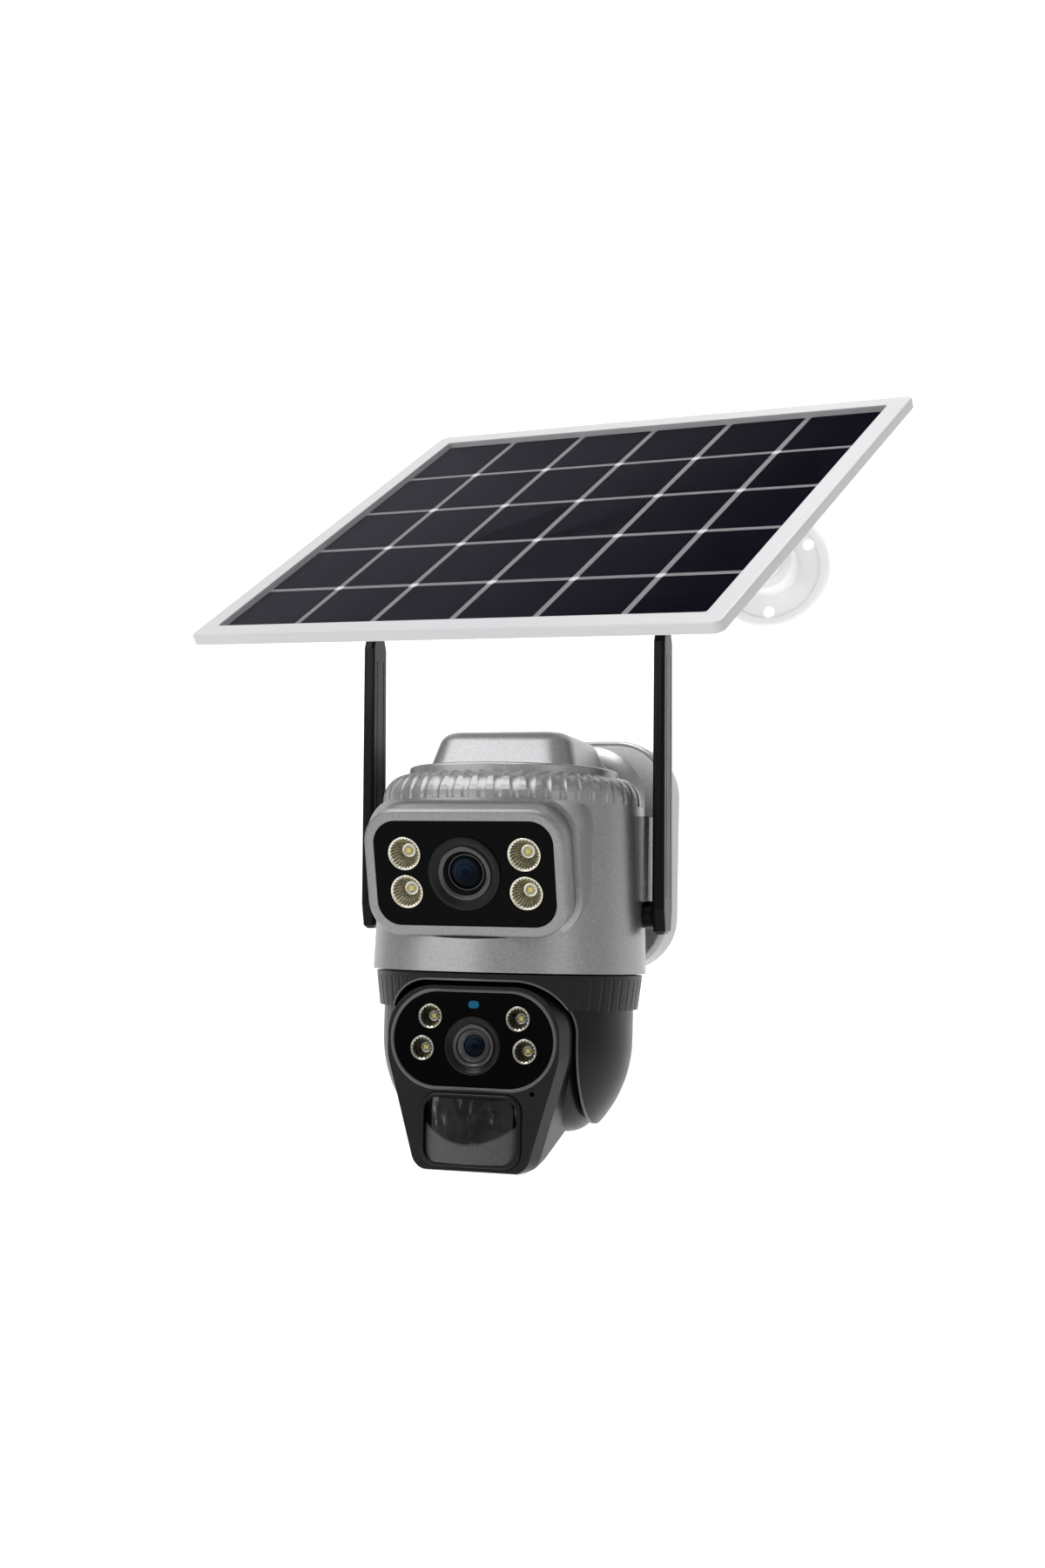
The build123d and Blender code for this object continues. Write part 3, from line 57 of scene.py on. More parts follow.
class Paint:
    """One material being built: keeps the node tree and makes nodes by name."""

    def __init__(self, name):
        self.material = bpy.data.materials.new(name)
        self.material.use_nodes = True
        self.tree = self.material.node_tree
        self.shader = self.tree.nodes["Principled BSDF"]
        self.coord = self.tree.nodes.new("ShaderNodeTexCoord").outputs["Object"]

    def node(self, kind, inputs=None, **props):
        made = self.tree.nodes.new(kind)
        for key, value in props.items():
            setattr(made, key, value)
        for key, value in (inputs or {}).items():
            self.put(made.inputs[key], value)
        return made

    def put(self, socket, value):
        if isinstance(value, bpy.types.NodeSocket):
            self.tree.links.new(value, socket)
        else:
            socket.default_value = value

    def set(self, **values):
        names = {"base": "Base Color", "metallic": "Metallic", "rough": "Roughness", "coat": "Coat Weight",
                 "coat_rough": "Coat Roughness", "ior": "IOR", "spec": "Specular IOR Level",
                 "transmission": "Transmission Weight", "alpha": "Alpha", "sheen": "Sheen Weight",
                 "glow": "Emission Strength", "glow_colour": "Emission Color", "normal": "Normal"}
        for key, value in values.items():
            self.put(self.shader.inputs[names[key]], value)

    def noise(self, scale, detail=3.0, rough=0.55, vector=None):
        inputs = {"Vector": vector or self.coord, "Scale": scale, "Detail": detail, "Roughness": rough}
        return self.node("ShaderNodeTexNoise", inputs).outputs["Fac"]

    def remap(self, value, low, high, to_low, to_high):
        inputs = {"Value": value, "From Min": low, "From Max": high, "To Min": to_low, "To Max": to_high}
        return self.node("ShaderNodeMapRange", inputs).outputs["Result"]

    def math(self, op, a, b=0.0):
        made = self.tree.nodes.new("ShaderNodeMath")
        made.operation = op
        self.put(made.inputs[0], a)
        self.put(made.inputs[1], b)
        return made.outputs[0]

    def mix(self, factor, a, b):
        made = self.node("ShaderNodeMix", data_type="RGBA")
        self.put(made.inputs["Factor"], factor)
        self.put(made.inputs["A"], a)
        self.put(made.inputs["B"], b)
        return made.outputs["Result"]

    def ramp(self, value, stops):
        made = self.node("ShaderNodeValToRGB", {"Fac": value})
        ramp = made.color_ramp
        while len(ramp.elements) < len(stops):
            ramp.elements.new(0.5)
        for element, (at, colour) in zip(ramp.elements, stops):
            element.position = at
            element.color = colour
        return made.outputs["Color"]

    def bump(self, height, depth, strength=1.0, normal=None):
        made = self.node("ShaderNodeBump", {"Height": height, "Distance": depth, "Strength": strength})
        if normal is not None:
            self.put(made.inputs["Normal"], normal)
        return made.outputs["Normal"]


def grey(value, tint=(1.0, 1.0, 1.0)):
    return (value * tint[0], value * tint[1], value * tint[2], 1.0)


def scaled(colour, k):
    return (colour[0] * k, colour[1] * k, colour[2] * k, 1.0)


def moulded(name, colour, rough, grain=1500.0, depth=0.00002, spread=0.12, rough_spread=0.06, blotch=28.0,
            **more):
    """Moulded plastic: faint cloudiness, a fine spark-eroded grain and uneven gloss."""
    p = Paint(name)
    cloud = p.noise(blotch, 4.0)
    fine = p.noise(grain, 2.0, 0.6)
    both = p.math("ADD", p.math("MULTIPLY", cloud, 0.6), p.math("MULTIPLY", fine, 0.4))
    p.set(base=p.ramp(both, [(0.34, scaled(colour, 1 - spread)), (0.66, scaled(colour, 1 + spread))]),
          rough=p.remap(both, 0.3, 0.7, rough - rough_spread, rough + rough_spread),
          normal=p.bump(fine, depth), **more)
    return p.material


def flaked(name, colour, rough, metallic, relief=0.35):
    """Silver-grey plastic with metal flakes, a little darker in its hollows."""
    p = Paint(name)
    flakes = p.node("ShaderNodeTexVoronoi", {"Vector": p.coord, "Scale": 1250.0}).outputs["Color"]
    flake = p.node("ShaderNodeSeparateColor", {"Color": flakes}).outputs["Red"]
    grain = p.noise(900.0, 3.0, 0.65)
    cloud = p.noise(16.0, 4.0)
    shade = p.math("ADD", p.math("MULTIPLY", grain, 0.55), p.math("MULTIPLY", flake, 0.28))
    shade = p.math("ADD", shade, p.math("MULTIPLY", cloud, 0.17))
    tone = p.ramp(shade, [(0.25, scaled(colour, 0.86)), (0.50, scaled(colour, 1.0)),
                          (0.78, scaled(colour, 1.18))])
    p.set(base=tone, metallic=metallic,
          rough=p.remap(flake, 0.0, 1.0, rough - 0.04, rough + 0.04),
          normal=p.bump(grain, 0.00002, relief))
    return p.material


def brushed(name, colour, rough, axis_scale=(1.0, 1.0, 22.0)):
    """Plated or brushed metal with fine drawn lines and dulled patches."""
    p = Paint(name)
    stretch = p.node("ShaderNodeMapping", {"Vector": p.coord, "Scale": axis_scale}).outputs["Vector"]
    lines = p.noise(160.0, 3.0, 0.6, stretch)
    patches = p.noise(240.0, 4.0)
    p.set(base=p.ramp(patches, [(0.35, scaled(colour, 0.96)), (0.65, scaled(colour, 1.03))]), metallic=1.0,
          rough=p.remap(lines, 0.3, 0.7, rough - 0.05, rough + 0.06), normal=p.bump(lines, 0.00001, 0.4))
    return p.material


def polished(name, colour, rough, **more):
    """Gloss black window: smooth with barely visible haze and dust."""
    p = Paint(name)
    haze = p.noise(45.0, 5.0, 0.6)
    dust = p.noise(2400.0, 2.0, 0.7)
    speck = p.remap(dust, 0.70, 0.78, 0.0, 0.10)
    p.set(base=p.mix(speck, colour, grey(0.05)), rough=p.remap(haze, 0.35, 0.7, rough, rough + 0.06),
          normal=p.bump(haze, 0.00001, 0.15), **more)
    return p.material


def lens_paint(name, centre, axis, radius, glow):
    """Coated front glass: a dark pupil, bluish coating rings and a black edge, about the lens's axis, with
    painted light that makes it brighter towards the upper left and darker towards the lower right.
    """
    p = Paint(name)
    offset = p.node("ShaderNodeVectorMath", {0: p.coord, 1: centre}, operation="SUBTRACT").outputs["Vector"]
    along = p.node("ShaderNodeVectorMath", {0: offset, 1: axis}, operation="DOT_PRODUCT").outputs["Value"]
    far = p.node("ShaderNodeVectorMath", {0: offset}, operation="LENGTH").outputs["Value"]
    away = p.math("SQRT", p.math("MAXIMUM", p.math("SUBTRACT", p.math("MULTIPLY", far, far),
                                                   p.math("MULTIPLY", along, along)), 0.0))
    share = p.math("DIVIDE", away, radius)
    # Painted light: the coating is multiplied by a ramp from a quarter of its colour at the lower right up to
    # the glow colour at the upper left.
    tilt = p.node("ShaderNodeSeparateXYZ", {"Vector": offset})
    painted_light_side = p.math("ADD", tilt.outputs["Z"], p.math("MULTIPLY", tilt.outputs["X"], -0.6))
    painted_light_side = p.math("DIVIDE", painted_light_side, radius)
    rings = p.ramp(share, [(0.0, (0.002, 0.003, 0.008, 1)), (0.26, (0.003, 0.006, 0.018, 1)),
                           (0.34, (0.006, 0.016, 0.030, 1)), (0.52, (0.003, 0.007, 0.014, 1)),
                           (0.66, (0.010, 0.016, 0.026, 1)), (0.82, (0.003, 0.004, 0.006, 1)),
                           (0.97, (0.002, 0.002, 0.003, 1))])
    painted_light_side = p.remap(painted_light_side, -1.0, 1.0, 0.0, 1.0)
    painted_light = p.ramp(painted_light_side, [(0.35, grey(0.25)), (0.85, (glow[0], glow[1], glow[2], 1))])
    made = p.node("ShaderNodeMix", data_type="RGBA", blend_type="MULTIPLY")
    p.put(made.inputs["Factor"], 1.0)
    p.put(made.inputs["A"], rings)
    p.put(made.inputs["B"], painted_light)
    smear = p.noise(420.0, 3.0)
    p.set(base=made.outputs["Result"], rough=p.remap(smear, 0.3, 0.7, 0.03, 0.07), ior=1.25, spec=0.08)
    return p.material


# ---- finishes, one for each slot in the record ---------------------------------------------------------


def pir_paint():
    """Motion-sensor film: glossy and clear-dark above a smile-shaped line, matt grey below it, with the
    faint squares of its moulded lens pattern and pale streaks in the glossy part that are painted highlights."""
    p = Paint("pir_film")
    low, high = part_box("pir_lens")
    half = (high[0] - low[0]) / 2
    split = p.node("ShaderNodeSeparateXYZ", {"Vector": p.coord})
    x = p.math("DIVIDE", split.outputs["X"], half)
    z = p.remap(split.outputs["Z"], low[2], high[2], -1.0, 1.0)
    curve = p.math("ADD", p.math("MULTIPLY", p.math("MULTIPLY", x, x), 0.62), -0.42)
    upper = p.remap(p.math("SUBTRACT", z, curve), -0.05, 0.05, 0.0, 1.0)
    cells = p.node("ShaderNodeTexVoronoi", {"Vector": p.coord, "Scale": 150.0}, feature="SMOOTH_F1")
    lines = cells.outputs["Distance"]
    cloud = p.noise(120.0, 4.0)
    fine = p.noise(1500.0, 2.0)
    # Painted highlights: pale streaks, stretched up and down and faded in cloudy patches, are laid over the
    # glossy upper part.
    glint_stretch = p.node("ShaderNodeMapping", {"Vector": p.coord, "Scale": (1.0, 1.0, 0.22)}).outputs["Vector"]
    painted_glints = p.noise(260.0, 3.0, 0.7, glint_stretch)
    clear = p.ramp(painted_glints, [(0.45, grey(0.001)), (0.60, grey(0.008)), (0.66, grey(0.10)), (0.72, grey(0.25))])
    clear = p.mix(p.remap(cloud, 0.4, 0.6, 0.75, 0.2), clear, grey(0.002))
    matt = p.ramp(fine, [(0.3, grey(0.045)), (0.7, grey(0.070))])
    height = p.math("ADD", p.math("MULTIPLY", lines, p.math("MULTIPLY", upper, 12.0)),
                    p.math("MULTIPLY", fine, 0.12))
    p.set(base=p.mix(upper, matt, clear), rough=p.remap(upper, 0.0, 1.0, 0.46, 0.05),
          normal=p.bump(height, 0.00006, 0.45), spec=0.15, coat=p.math("MULTIPLY", upper, 0.25))
    return p.material


PANEL_YAW = math.radians(-11.3)
PANEL_TILT = math.radians(35.7)
PANEL_ROLL = math.radians(-4.4)
PANEL_CENTRE = Vector((0.0375, -0.1423, 0.1478))
PANEL = (Matrix.Translation(PANEL_CENTRE) @ Matrix.Rotation(PANEL_YAW, 4, "Z")
         @ Matrix.Rotation(PANEL_TILT, 4, "X") @ Matrix.Rotation(PANEL_ROLL, 4, "Z"))


def in_panel(p):
    """Object coordinates turned into the panel's own plane."""
    turned = PANEL.to_euler("XYZ")
    shifted = p.node("ShaderNodeMapping", {"Vector": p.coord, "Location": PANEL_CENTRE, "Rotation": turned},
                     vector_type="TEXTURE")
    return shifted.outputs["Vector"]


def silicon_paint():
    """Dark blue-black cells with faint contact fingers and cloudy crystal, and a painted reflection that
    turns them lighter grey-violet towards the panel's -X edge.
    """
    p = Paint("silicon")
    place = in_panel(p)
    split = p.node("ShaderNodeSeparateXYZ", {"Vector": place})
    fingers = p.math("ABSOLUTE", p.math("SINE", p.math("MULTIPLY", split.outputs["Y"], 1250.0)))
    thin = p.remap(fingers, 0.0, 0.16, 1.0, 0.0)
    crystal = p.node("ShaderNodeTexVoronoi", {"Vector": place, "Scale": 95.0}).outputs["Color"]
    facet = p.node("ShaderNodeSeparateColor", {"Color": crystal}).outputs["Red"]
    cloud = p.noise(7.0, 3.0, 0.5, place)
    tone = p.math("ADD", p.math("MULTIPLY", facet, 0.25), p.math("MULTIPLY", cloud, 0.75))
    base = p.ramp(tone, [(0.25, (0.0012, 0.0010, 0.0030, 1)), (0.75, (0.0036, 0.0030, 0.0070, 1))])
    # Painted reflection: the cells blend towards a lighter grey-violet across the panel, fully so at its -X
    # edge.
    side = p.remap(split.outputs["X"], -0.125, 0.10, 1.0, 0.0)
    base = p.mix(side, base, (0.030, 0.029, 0.036, 1))
    p.set(base=p.mix(p.math("MULTIPLY", thin, 0.10), base, grey(0.05)),
          rough=p.remap(facet, 0, 1, 0.30, 0.40), spec=0.02, ior=1.06, normal=p.bump(thin, 0.00001, 0.2))
    return p.material


def backsheet_paint():
    """Grey sheet that shows between the cells, brighter where two gaps cross."""
    p = Paint("backsheet")
    place = in_panel(p)
    split = p.node("ShaderNodeSeparateXYZ", {"Vector": place})
    u = p.math("ADD", split.outputs["X"], CELL_COLUMNS / 2 * CELL_PITCH_X)
    v = p.math("ADD", split.outputs["Y"], CELL_ROWS / 2 * CELL_PITCH_Y)
    u = p.math("PINGPONG", u, CELL_PITCH_X / 2)
    v = p.math("PINGPONG", v, CELL_PITCH_Y / 2)
    near = p.math("MAXIMUM", u, v)
    cross = p.remap(near, CELL_GAP * 0.42, CELL_GAP * 0.62, 1.0, 0.0)
    fibre = p.noise(700.0, 3.0)
    base = p.ramp(fibre, [(0.3, grey(0.17, (1.0, 0.99, 1.04))), (0.7, grey(0.23, (1.0, 0.99, 1.04)))])
    p.set(base=p.mix(cross, base, grey(0.60)), rough=p.remap(fibre, 0.3, 0.7, 0.45, 0.6), spec=0.1,
          normal=p.bump(fibre, 0.00002, 0.4))
    return p.material


def glass_paint():
    """Textured solar glass: nearly clear, with a prismatic grain that softens reflections."""
    p = Paint("panel_glass")
    grain = p.node("ShaderNodeTexVoronoi", {"Vector": in_panel(p), "Scale": 620.0}).outputs["Distance"]
    haze = p.noise(10.0, 3.0)
    p.set(base=(0.02, 0.018, 0.028, 1), rough=p.remap(haze, 0.3, 0.7, 0.20, 0.30),
          alpha=0.06, spec=0.10, ior=1.10, normal=p.bump(grain, 0.00002, 0.25))
    return p.material


def board_paint():
    """Green circuit board with copper tracks under the solder mask."""
    p = Paint("board")
    bricks = p.node("ShaderNodeTexBrick", {"Vector": p.coord, "Scale": 190.0, "Mortar Size": 0.09,
                                           "Color1": grey(1.0), "Color2": grey(0.8), "Mortar": grey(0.0)})
    fine = p.noise(260.0, 2.0)
    p.set(base=p.mix(bricks.outputs["Fac"], (0.012, 0.075, 0.035, 1), (0.030, 0.135, 0.060, 1)),
          rough=p.remap(fine, 0.3, 0.7, 0.28, 0.42), normal=p.bump(bricks.outputs["Fac"], 0.00004, 0.5))
    return p.material


PANEL_W = 0.260
PANEL_H = 0.228
PANEL_BORDERS = 0.019
CELL_EDGE = 0.0008
CELL_GAP = 0.0034
CELL_COLUMNS = 6
CELL_ROWS = 5
CELL_PITCH_X = (PANEL_W - PANEL_BORDERS - CELL_EDGE + CELL_GAP) / CELL_COLUMNS
CELL_PITCH_Y = (PANEL_H - PANEL_BORDERS - CELL_EDGE + CELL_GAP) / CELL_ROWS

SILVER = (0.275, 0.277, 0.281)
FINISHES = {
    "silver_plastic": flaked("silver_plastic", SILVER, 0.35, 0.85),
    "plate_steel": brushed("plate_steel", (0.33, 0.33, 0.325), 0.42),
    "screw_steel": brushed("screw_steel", (0.60, 0.60, 0.58), 0.30, (22.0, 1.0, 1.0)),
    "inner_black": moulded("inner_black", (0.025, 0.025, 0.027), 0.55),
    "cell_sleeve": moulded("cell_sleeve", (0.03, 0.10, 0.33), 0.30, 300.0),
    "button_rubber": moulded("button_rubber", (0.018, 0.018, 0.018), 0.72, 900.0, 0.00004),
    "board": board_paint(),
    "bezel_grey": flaked("bezel_grey", scaled(SILVER, 0.72), 0.38, 0.70, 0.10),
    "black_window": polished("black_window", grey(0.0008), 0.06, spec=0.035),
    "lens_ring": moulded("lens_ring", (0.0035, 0.0035, 0.0038), 0.30, 1800.0, 0.00001, spec=0.14),
    "reflector": brushed("reflector", (0.56, 0.54, 0.45), 0.26, (4.0, 4.0, 4.0)),
    "bearing_steel": brushed("bearing_steel", (0.62, 0.62, 0.63), 0.22),
    "motor_can": brushed("motor_can", (0.50, 0.50, 0.48), 0.34),
    "gear_white": moulded("gear_white", (0.74, 0.73, 0.68), 0.42, 700.0, 0.00002, 0.05),
    "ring_copper": moulded("ring_copper", (0.04, 0.035, 0.03), 0.40, 500.0),
    "antenna_black": moulded("antenna_black", (0.0022, 0.0022, 0.0026), 0.30, 1700.0, 0.00002, 0.25, 0.07,
                             spec=0.09),
    "black_shell": moulded("black_shell", (0.0035, 0.0035, 0.0040), 0.34, 1400.0, 0.00003, 0.25, 0.06,
                           spec=0.17),
    "indicator": polished("indicator", (0.004, 0.072, 0.150, 1.0), 0.15, spec=0.1),
    "pir_film": pir_paint(),
    "speaker_can": brushed("speaker_can", (0.10, 0.10, 0.10), 0.45),
    "white_metal": moulded("white_metal", (0.84, 0.84, 0.845), 0.32, 420.0, 0.00005, 0.02, 0.06, 20.0),
    "washer_steel": brushed("washer_steel", (0.60, 0.60, 0.57), 0.30),
    "bolt_black": moulded("bolt_black", (0.014, 0.014, 0.015), 0.45, 1200.0, 0.00003, 0.2),
    "white_plastic": moulded("white_plastic", (0.43, 0.43, 0.44), 0.36, 1300.0, 0.00002, 0.025, 0.05),
    "panel_glass": glass_paint(),
    "silicon": silicon_paint(),
    "box_black": moulded("box_black", (0.013, 0.013, 0.014), 0.42, 900.0, 0.00004, 0.2),
}

AHEAD = Vector((0, -1, 0))
FACE_TILT = math.radians(16.5)
FACE_OUT = Vector((0, -math.cos(FACE_TILT), -math.sin(FACE_TILT)))
FACE_AT = Vector((0, -0.149, -0.0146))
HEAD_Y = -0.131
LOWER_LENS_AT = Vector((0, HEAD_Y, -0.0914))
WINDOW_AT = Vector((0, HEAD_Y, -0.0886))
WINDOW_W = 76.0
WINDOW_H = 43.0
UPPER_LENS_R = 7.75
LOWER_LENS_R = 5.0
SOCKET_AT = Vector((-0.0654, -0.015, 0.004))
PAN_AXIS_Y = -77.0        # millimetres, like PAN_TOP_Z
PAN_TOP_Z = -58.0         # height of the yoke's top
BACKSHEET = backsheet_paint()
UPPER_GLASS = lens_paint("upper_coating", FACE_AT, FACE_OUT, 0.0078, (1.0, 1.0, 1.0))
LOWER_GLASS = lens_paint("lower_coating", LOWER_LENS_AT, AHEAD, 0.0062, (1.0, 0.95, 0.9))
CHAMFER = brushed("ring_edge", (0.06, 0.06, 0.063), 0.28, (1.0, 1.0, 1.0))
CONE_GREY = moulded("lens_cone", (0.030, 0.030, 0.030), 0.32, 1500.0, 0.00001, 0.2)
PHOSPHOR = moulded("phosphor", (0.85, 0.70, 0.16), 0.5, 900.0, 0.00002, 0.15)
CHIP_BASE = moulded("chip_base", (0.30, 0.30, 0.26), 0.4, 900.0, 0.00002, 0.05)
# Painted shade: the first and third of these are darker copies of the cup finishes, put on the floors of the
# flutes.
FLUTE_PAINTED_SHADE = brushed("flute_painted_shade", (0.13, 0.125, 0.10), 0.35, (4.0, 4.0, 4.0))
CUP_DARK = brushed("cup_dark", (0.30, 0.295, 0.26), 0.18, (4.0, 4.0, 4.0))
DARK_FLUTE_PAINTED_SHADE = brushed("dark_flute_painted_shade", (0.10, 0.10, 0.09), 0.25, (4.0, 4.0, 4.0))
# Partly painted highlight: a grey much lighter than the black shell, for the raised beads along the window
# and the fork's opening.
RIM_HIGHLIGHT_GREY = moulded("rim_highlight_grey", (0.050, 0.050, 0.052), 0.33, 1500.0, 0.00001, 0.15)


def dome_paint():
    """Clear silicone dome over a lamp chip."""
    p = Paint("clear_dome")
    ripple = p.noise(600.0, 2.0)
    p.set(base=p.ramp(ripple, [(0.3, (0.93, 0.94, 0.90, 1)), (0.7, (1.0, 1.0, 0.97, 1))]),
          transmission=1.0, ior=1.41, rough=p.remap(ripple, 0.3, 0.7, 0.02, 0.06), alpha=0.55)
    return p.material


DOME = dome_paint()

for part in frame["record"]["subparts"]:
    made = FINISHES.get(part["material_slot"])
    if made is None:
        continue
    holder = frame["nodes"][part["node"]]
    for entry in holder.material_slots:
        entry.material = made

# ---- mesh helpers --------------------------------------------------------------------------------------


def facing(origin, out, right=Vector((1, 0, 0))):
    """Matrix that carries a shape drawn about Z, in millimetres, to a place that faces out."""
    z = out.normalized()
    y = z.cross(right).normalized()
    x = y.cross(z)
    turn = Matrix((x, y, z)).transposed().to_4x4()
    return Matrix.Translation(origin) @ turn @ Matrix.Scale(MM, 4)


def piece(name, mesh_builder, body, materials, replaced=(), smooth_angle=32.0):
    mesh = bpy.data.meshes.new(name)
    bm = bmesh.new()
    mesh_builder(bm)
    bmesh.ops.recalc_face_normals(bm, faces=bm.faces)
    for face in bm.faces:
        face.smooth = True
    for edge in bm.edges:
        if len(edge.link_faces) == 2 and edge.calc_face_angle(0.0) > math.radians(smooth_angle):
            edge.smooth = False
    bm.to_mesh(mesh)
    bm.free()
    for material in materials:
        mesh.materials.append(material)
    made = bpy.data.objects.new(name, mesh)
    scene.collection.objects.link(made)
    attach(made, body)
    if replaced:
        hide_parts(*replaced)
    return made


def lathe(bm, matrix, profile, steps=96, material=0, wave=0.0, waves=0, ripple=None):
    """Closed solid of revolution about Z from (radius, height) points. wave and waves press flutes into
    the points listed in ripple, and the floor of each flute gets material 1, where the cups put a darker copy
    of their finish as painted shade."""
    rings = []
    for index, (radius, height) in enumerate(profile):
        ring = []
        for k in range(steps):
            a = 2 * math.pi * k / steps
            r = radius
            if ripple and index in ripple:
                r += wave * (0.5 + 0.5 * math.cos(waves * a)) ** 1.5
            ring.append(bm.verts.new(matrix @ Vector((r * math.cos(a), r * math.sin(a), height))))
        rings.append(ring)
    for i in range(len(rings)):
        near = rings[i]
        far = rings[(i + 1) % len(rings)]
        for k in range(steps):
            face = bm.faces.new((near[k], near[(k + 1) % steps], far[(k + 1) % steps], far[k]))
            # Painted shade: flute floors take material 1, the darker copy of the finish.
            floor = ripple and i in ripple and math.cos(waves * 2 * math.pi * (k + 0.5) / steps) < -0.2
            face.material_index = 1 if floor else material


def disc_lathe(bm, matrix, profile, steps=64, material=0):
    """Solid of revolution whose first and last points lie on the axis."""
    start = bm.verts.new(matrix @ Vector((0, 0, profile[0][1])))
    end = bm.verts.new(matrix @ Vector((0, 0, profile[-1][1])))
    rings = []
    for radius, height in profile[1:-1]:
        ring = []
        for k in range(steps):
            a = 2 * math.pi * k / steps
            ring.append(bm.verts.new(matrix @ Vector((radius * math.cos(a), radius * math.sin(a), height))))
        rings.append(ring)
    for k in range(steps):
        n = (k + 1) % steps
        bm.faces.new((start, rings[0][n], rings[0][k])).material_index = material
        bm.faces.new((end, rings[-1][k], rings[-1][n])).material_index = material
        for near, far in zip(rings, rings[1:]):
            bm.faces.new((near[k], near[n], far[n], far[k])).material_index = material


def slab(bm, matrix, w, h, z0, z1, bevel, material=0):
    """Bevelled plate, w by h, from z0 up to z1."""
    corners = []
    for sx, sy in ((-1, -1), (1, -1), (1, 1), (-1, 1)):
        corners.append((sx, sy))
    layers = [(z0, 0.0), (z1 - bevel, 0.0), (z1, bevel)]
    rings = []
    for z, inset in layers:
        ring = []
        for sx, sy in corners:
            ring.append(bm.verts.new(matrix @ Vector((sx * (w / 2 - inset), sy * (h / 2 - inset), z))))
        rings.append(ring)
    for near, far in zip(rings, rings[1:]):
        for k in range(4):
            bm.faces.new((near[k], near[(k + 1) % 4], far[(k + 1) % 4], far[k])).material_index = material
    bm.faces.new(list(reversed(rings[0]))).material_index = material
    bm.faces.new(rings[-1]).material_index = material


# ---- lamps ---------------------------------------------------------------------------------------------

UPPER_LAMPS = [facing(FACE_AT, FACE_OUT) @ Matrix.Translation((x, y, -0.9))
               for x in (-28.1, 28.1) for y in (-8.8, 8.8)]
LOWER_LAMPS = [facing(Vector((x * MM, HEAD_Y + 0.0006, (z + PAN_TOP_Z) * MM)), AHEAD)
               for x, z in ((-20.8, -20.6), (20.8, -20.6), (-24.3, -35.0), (24.3, -35.0))]
UPPER_CUP_R = 7.7
UPPER_CUP_DEPTH = 8.0
LOWER_CUP_R = 5.7
LOWER_CUP_DEPTH = 7.0


def cups(places, r, depth, waves):
    """Fluted reflector cups: a rolled rim, a ribbed cone and a flat floor with the chip's hole; the flute
    floors take the second, darker finish as painted shade.
    """
    def build(bm):
        for place in places:
            profile = [(r, -0.9), (r, -0.15), (r - 0.18, 0.05), (r - 0.45, 0.08), (r - 0.70, -0.10)]
            steps = 7
            for i in range(steps + 1):
                t = i / steps
                radius = (r - 0.85) * (1 - t) + r * 0.40 * t + 0.35 * math.sin(math.pi * t)
                profile.append((radius, -0.25 - (depth - 1.5) * t))
            profile += [(1.7, -depth + 1.2), (1.7, -depth + 0.2)]
            profile += [(r * 0.5, -depth + 0.2), (r * 0.55, -depth + 1.0)]
            lathe(bm, place, profile, steps=waves * 6, wave=-0.5, waves=waves, ripple=set(range(5, 12)))
    return build


def chips(places, depth, size, dome_r):
    """Square lamp chip with a yellow phosphor pad, under a clear dome."""
    def build(bm):
        for place in places:
            slab(bm, place, size, size, -depth - 0.4, -depth + 1.15, 0.12, 0)
            slab(bm, place, size * 0.62, size * 0.62, -depth + 1.15, -depth + 1.40, 0.08, 1)
    def cover(bm):
        for place in places:
            arc = [(0, -depth + 1.0)]
            arc.append((dome_r, -depth + 1.0))
            for i in range(1, 9):
                a = math.radians(90 * i / 9)
                arc.append((dome_r * math.cos(a), -depth + 1.25 + dome_r * 1.05 * math.sin(a)))
            arc.append((0, -depth + 1.25 + dome_r * 1.05))
            disc_lathe(bm, place, arc, 48)
    return build, cover


piece("upper_lamp_reflectors", cups(UPPER_LAMPS, UPPER_CUP_R, UPPER_CUP_DEPTH, 26), "housing",
      [FINISHES["reflector"], FLUTE_PAINTED_SHADE], ["upper_led_cups"], 50.0)
piece("lower_lamp_reflectors", cups(LOWER_LAMPS, LOWER_CUP_R, LOWER_CUP_DEPTH, 18), "head",
      [CUP_DARK, DARK_FLUTE_PAINTED_SHADE], ["head_led_cups"], 50.0)
upper_chip, upper_dome = chips(UPPER_LAMPS, UPPER_CUP_DEPTH, 3.0, 2.5)
lower_chip, lower_dome = chips(LOWER_LAMPS, LOWER_CUP_DEPTH, 2.6, 2.0)
piece("upper_lamp_chips", upper_chip, "housing", [CHIP_BASE, PHOSPHOR], ["upper_led_chips"])
piece("upper_lamp_domes", upper_dome, "housing", [DOME])
piece("lower_lamp_chips", lower_chip, "head", [CHIP_BASE, PHOSPHOR], ["head_led_chips"])
piece("lower_lamp_domes", lower_dome, "head", [DOME])

# ---- lenses --------------------------------------------------------------------------------------------


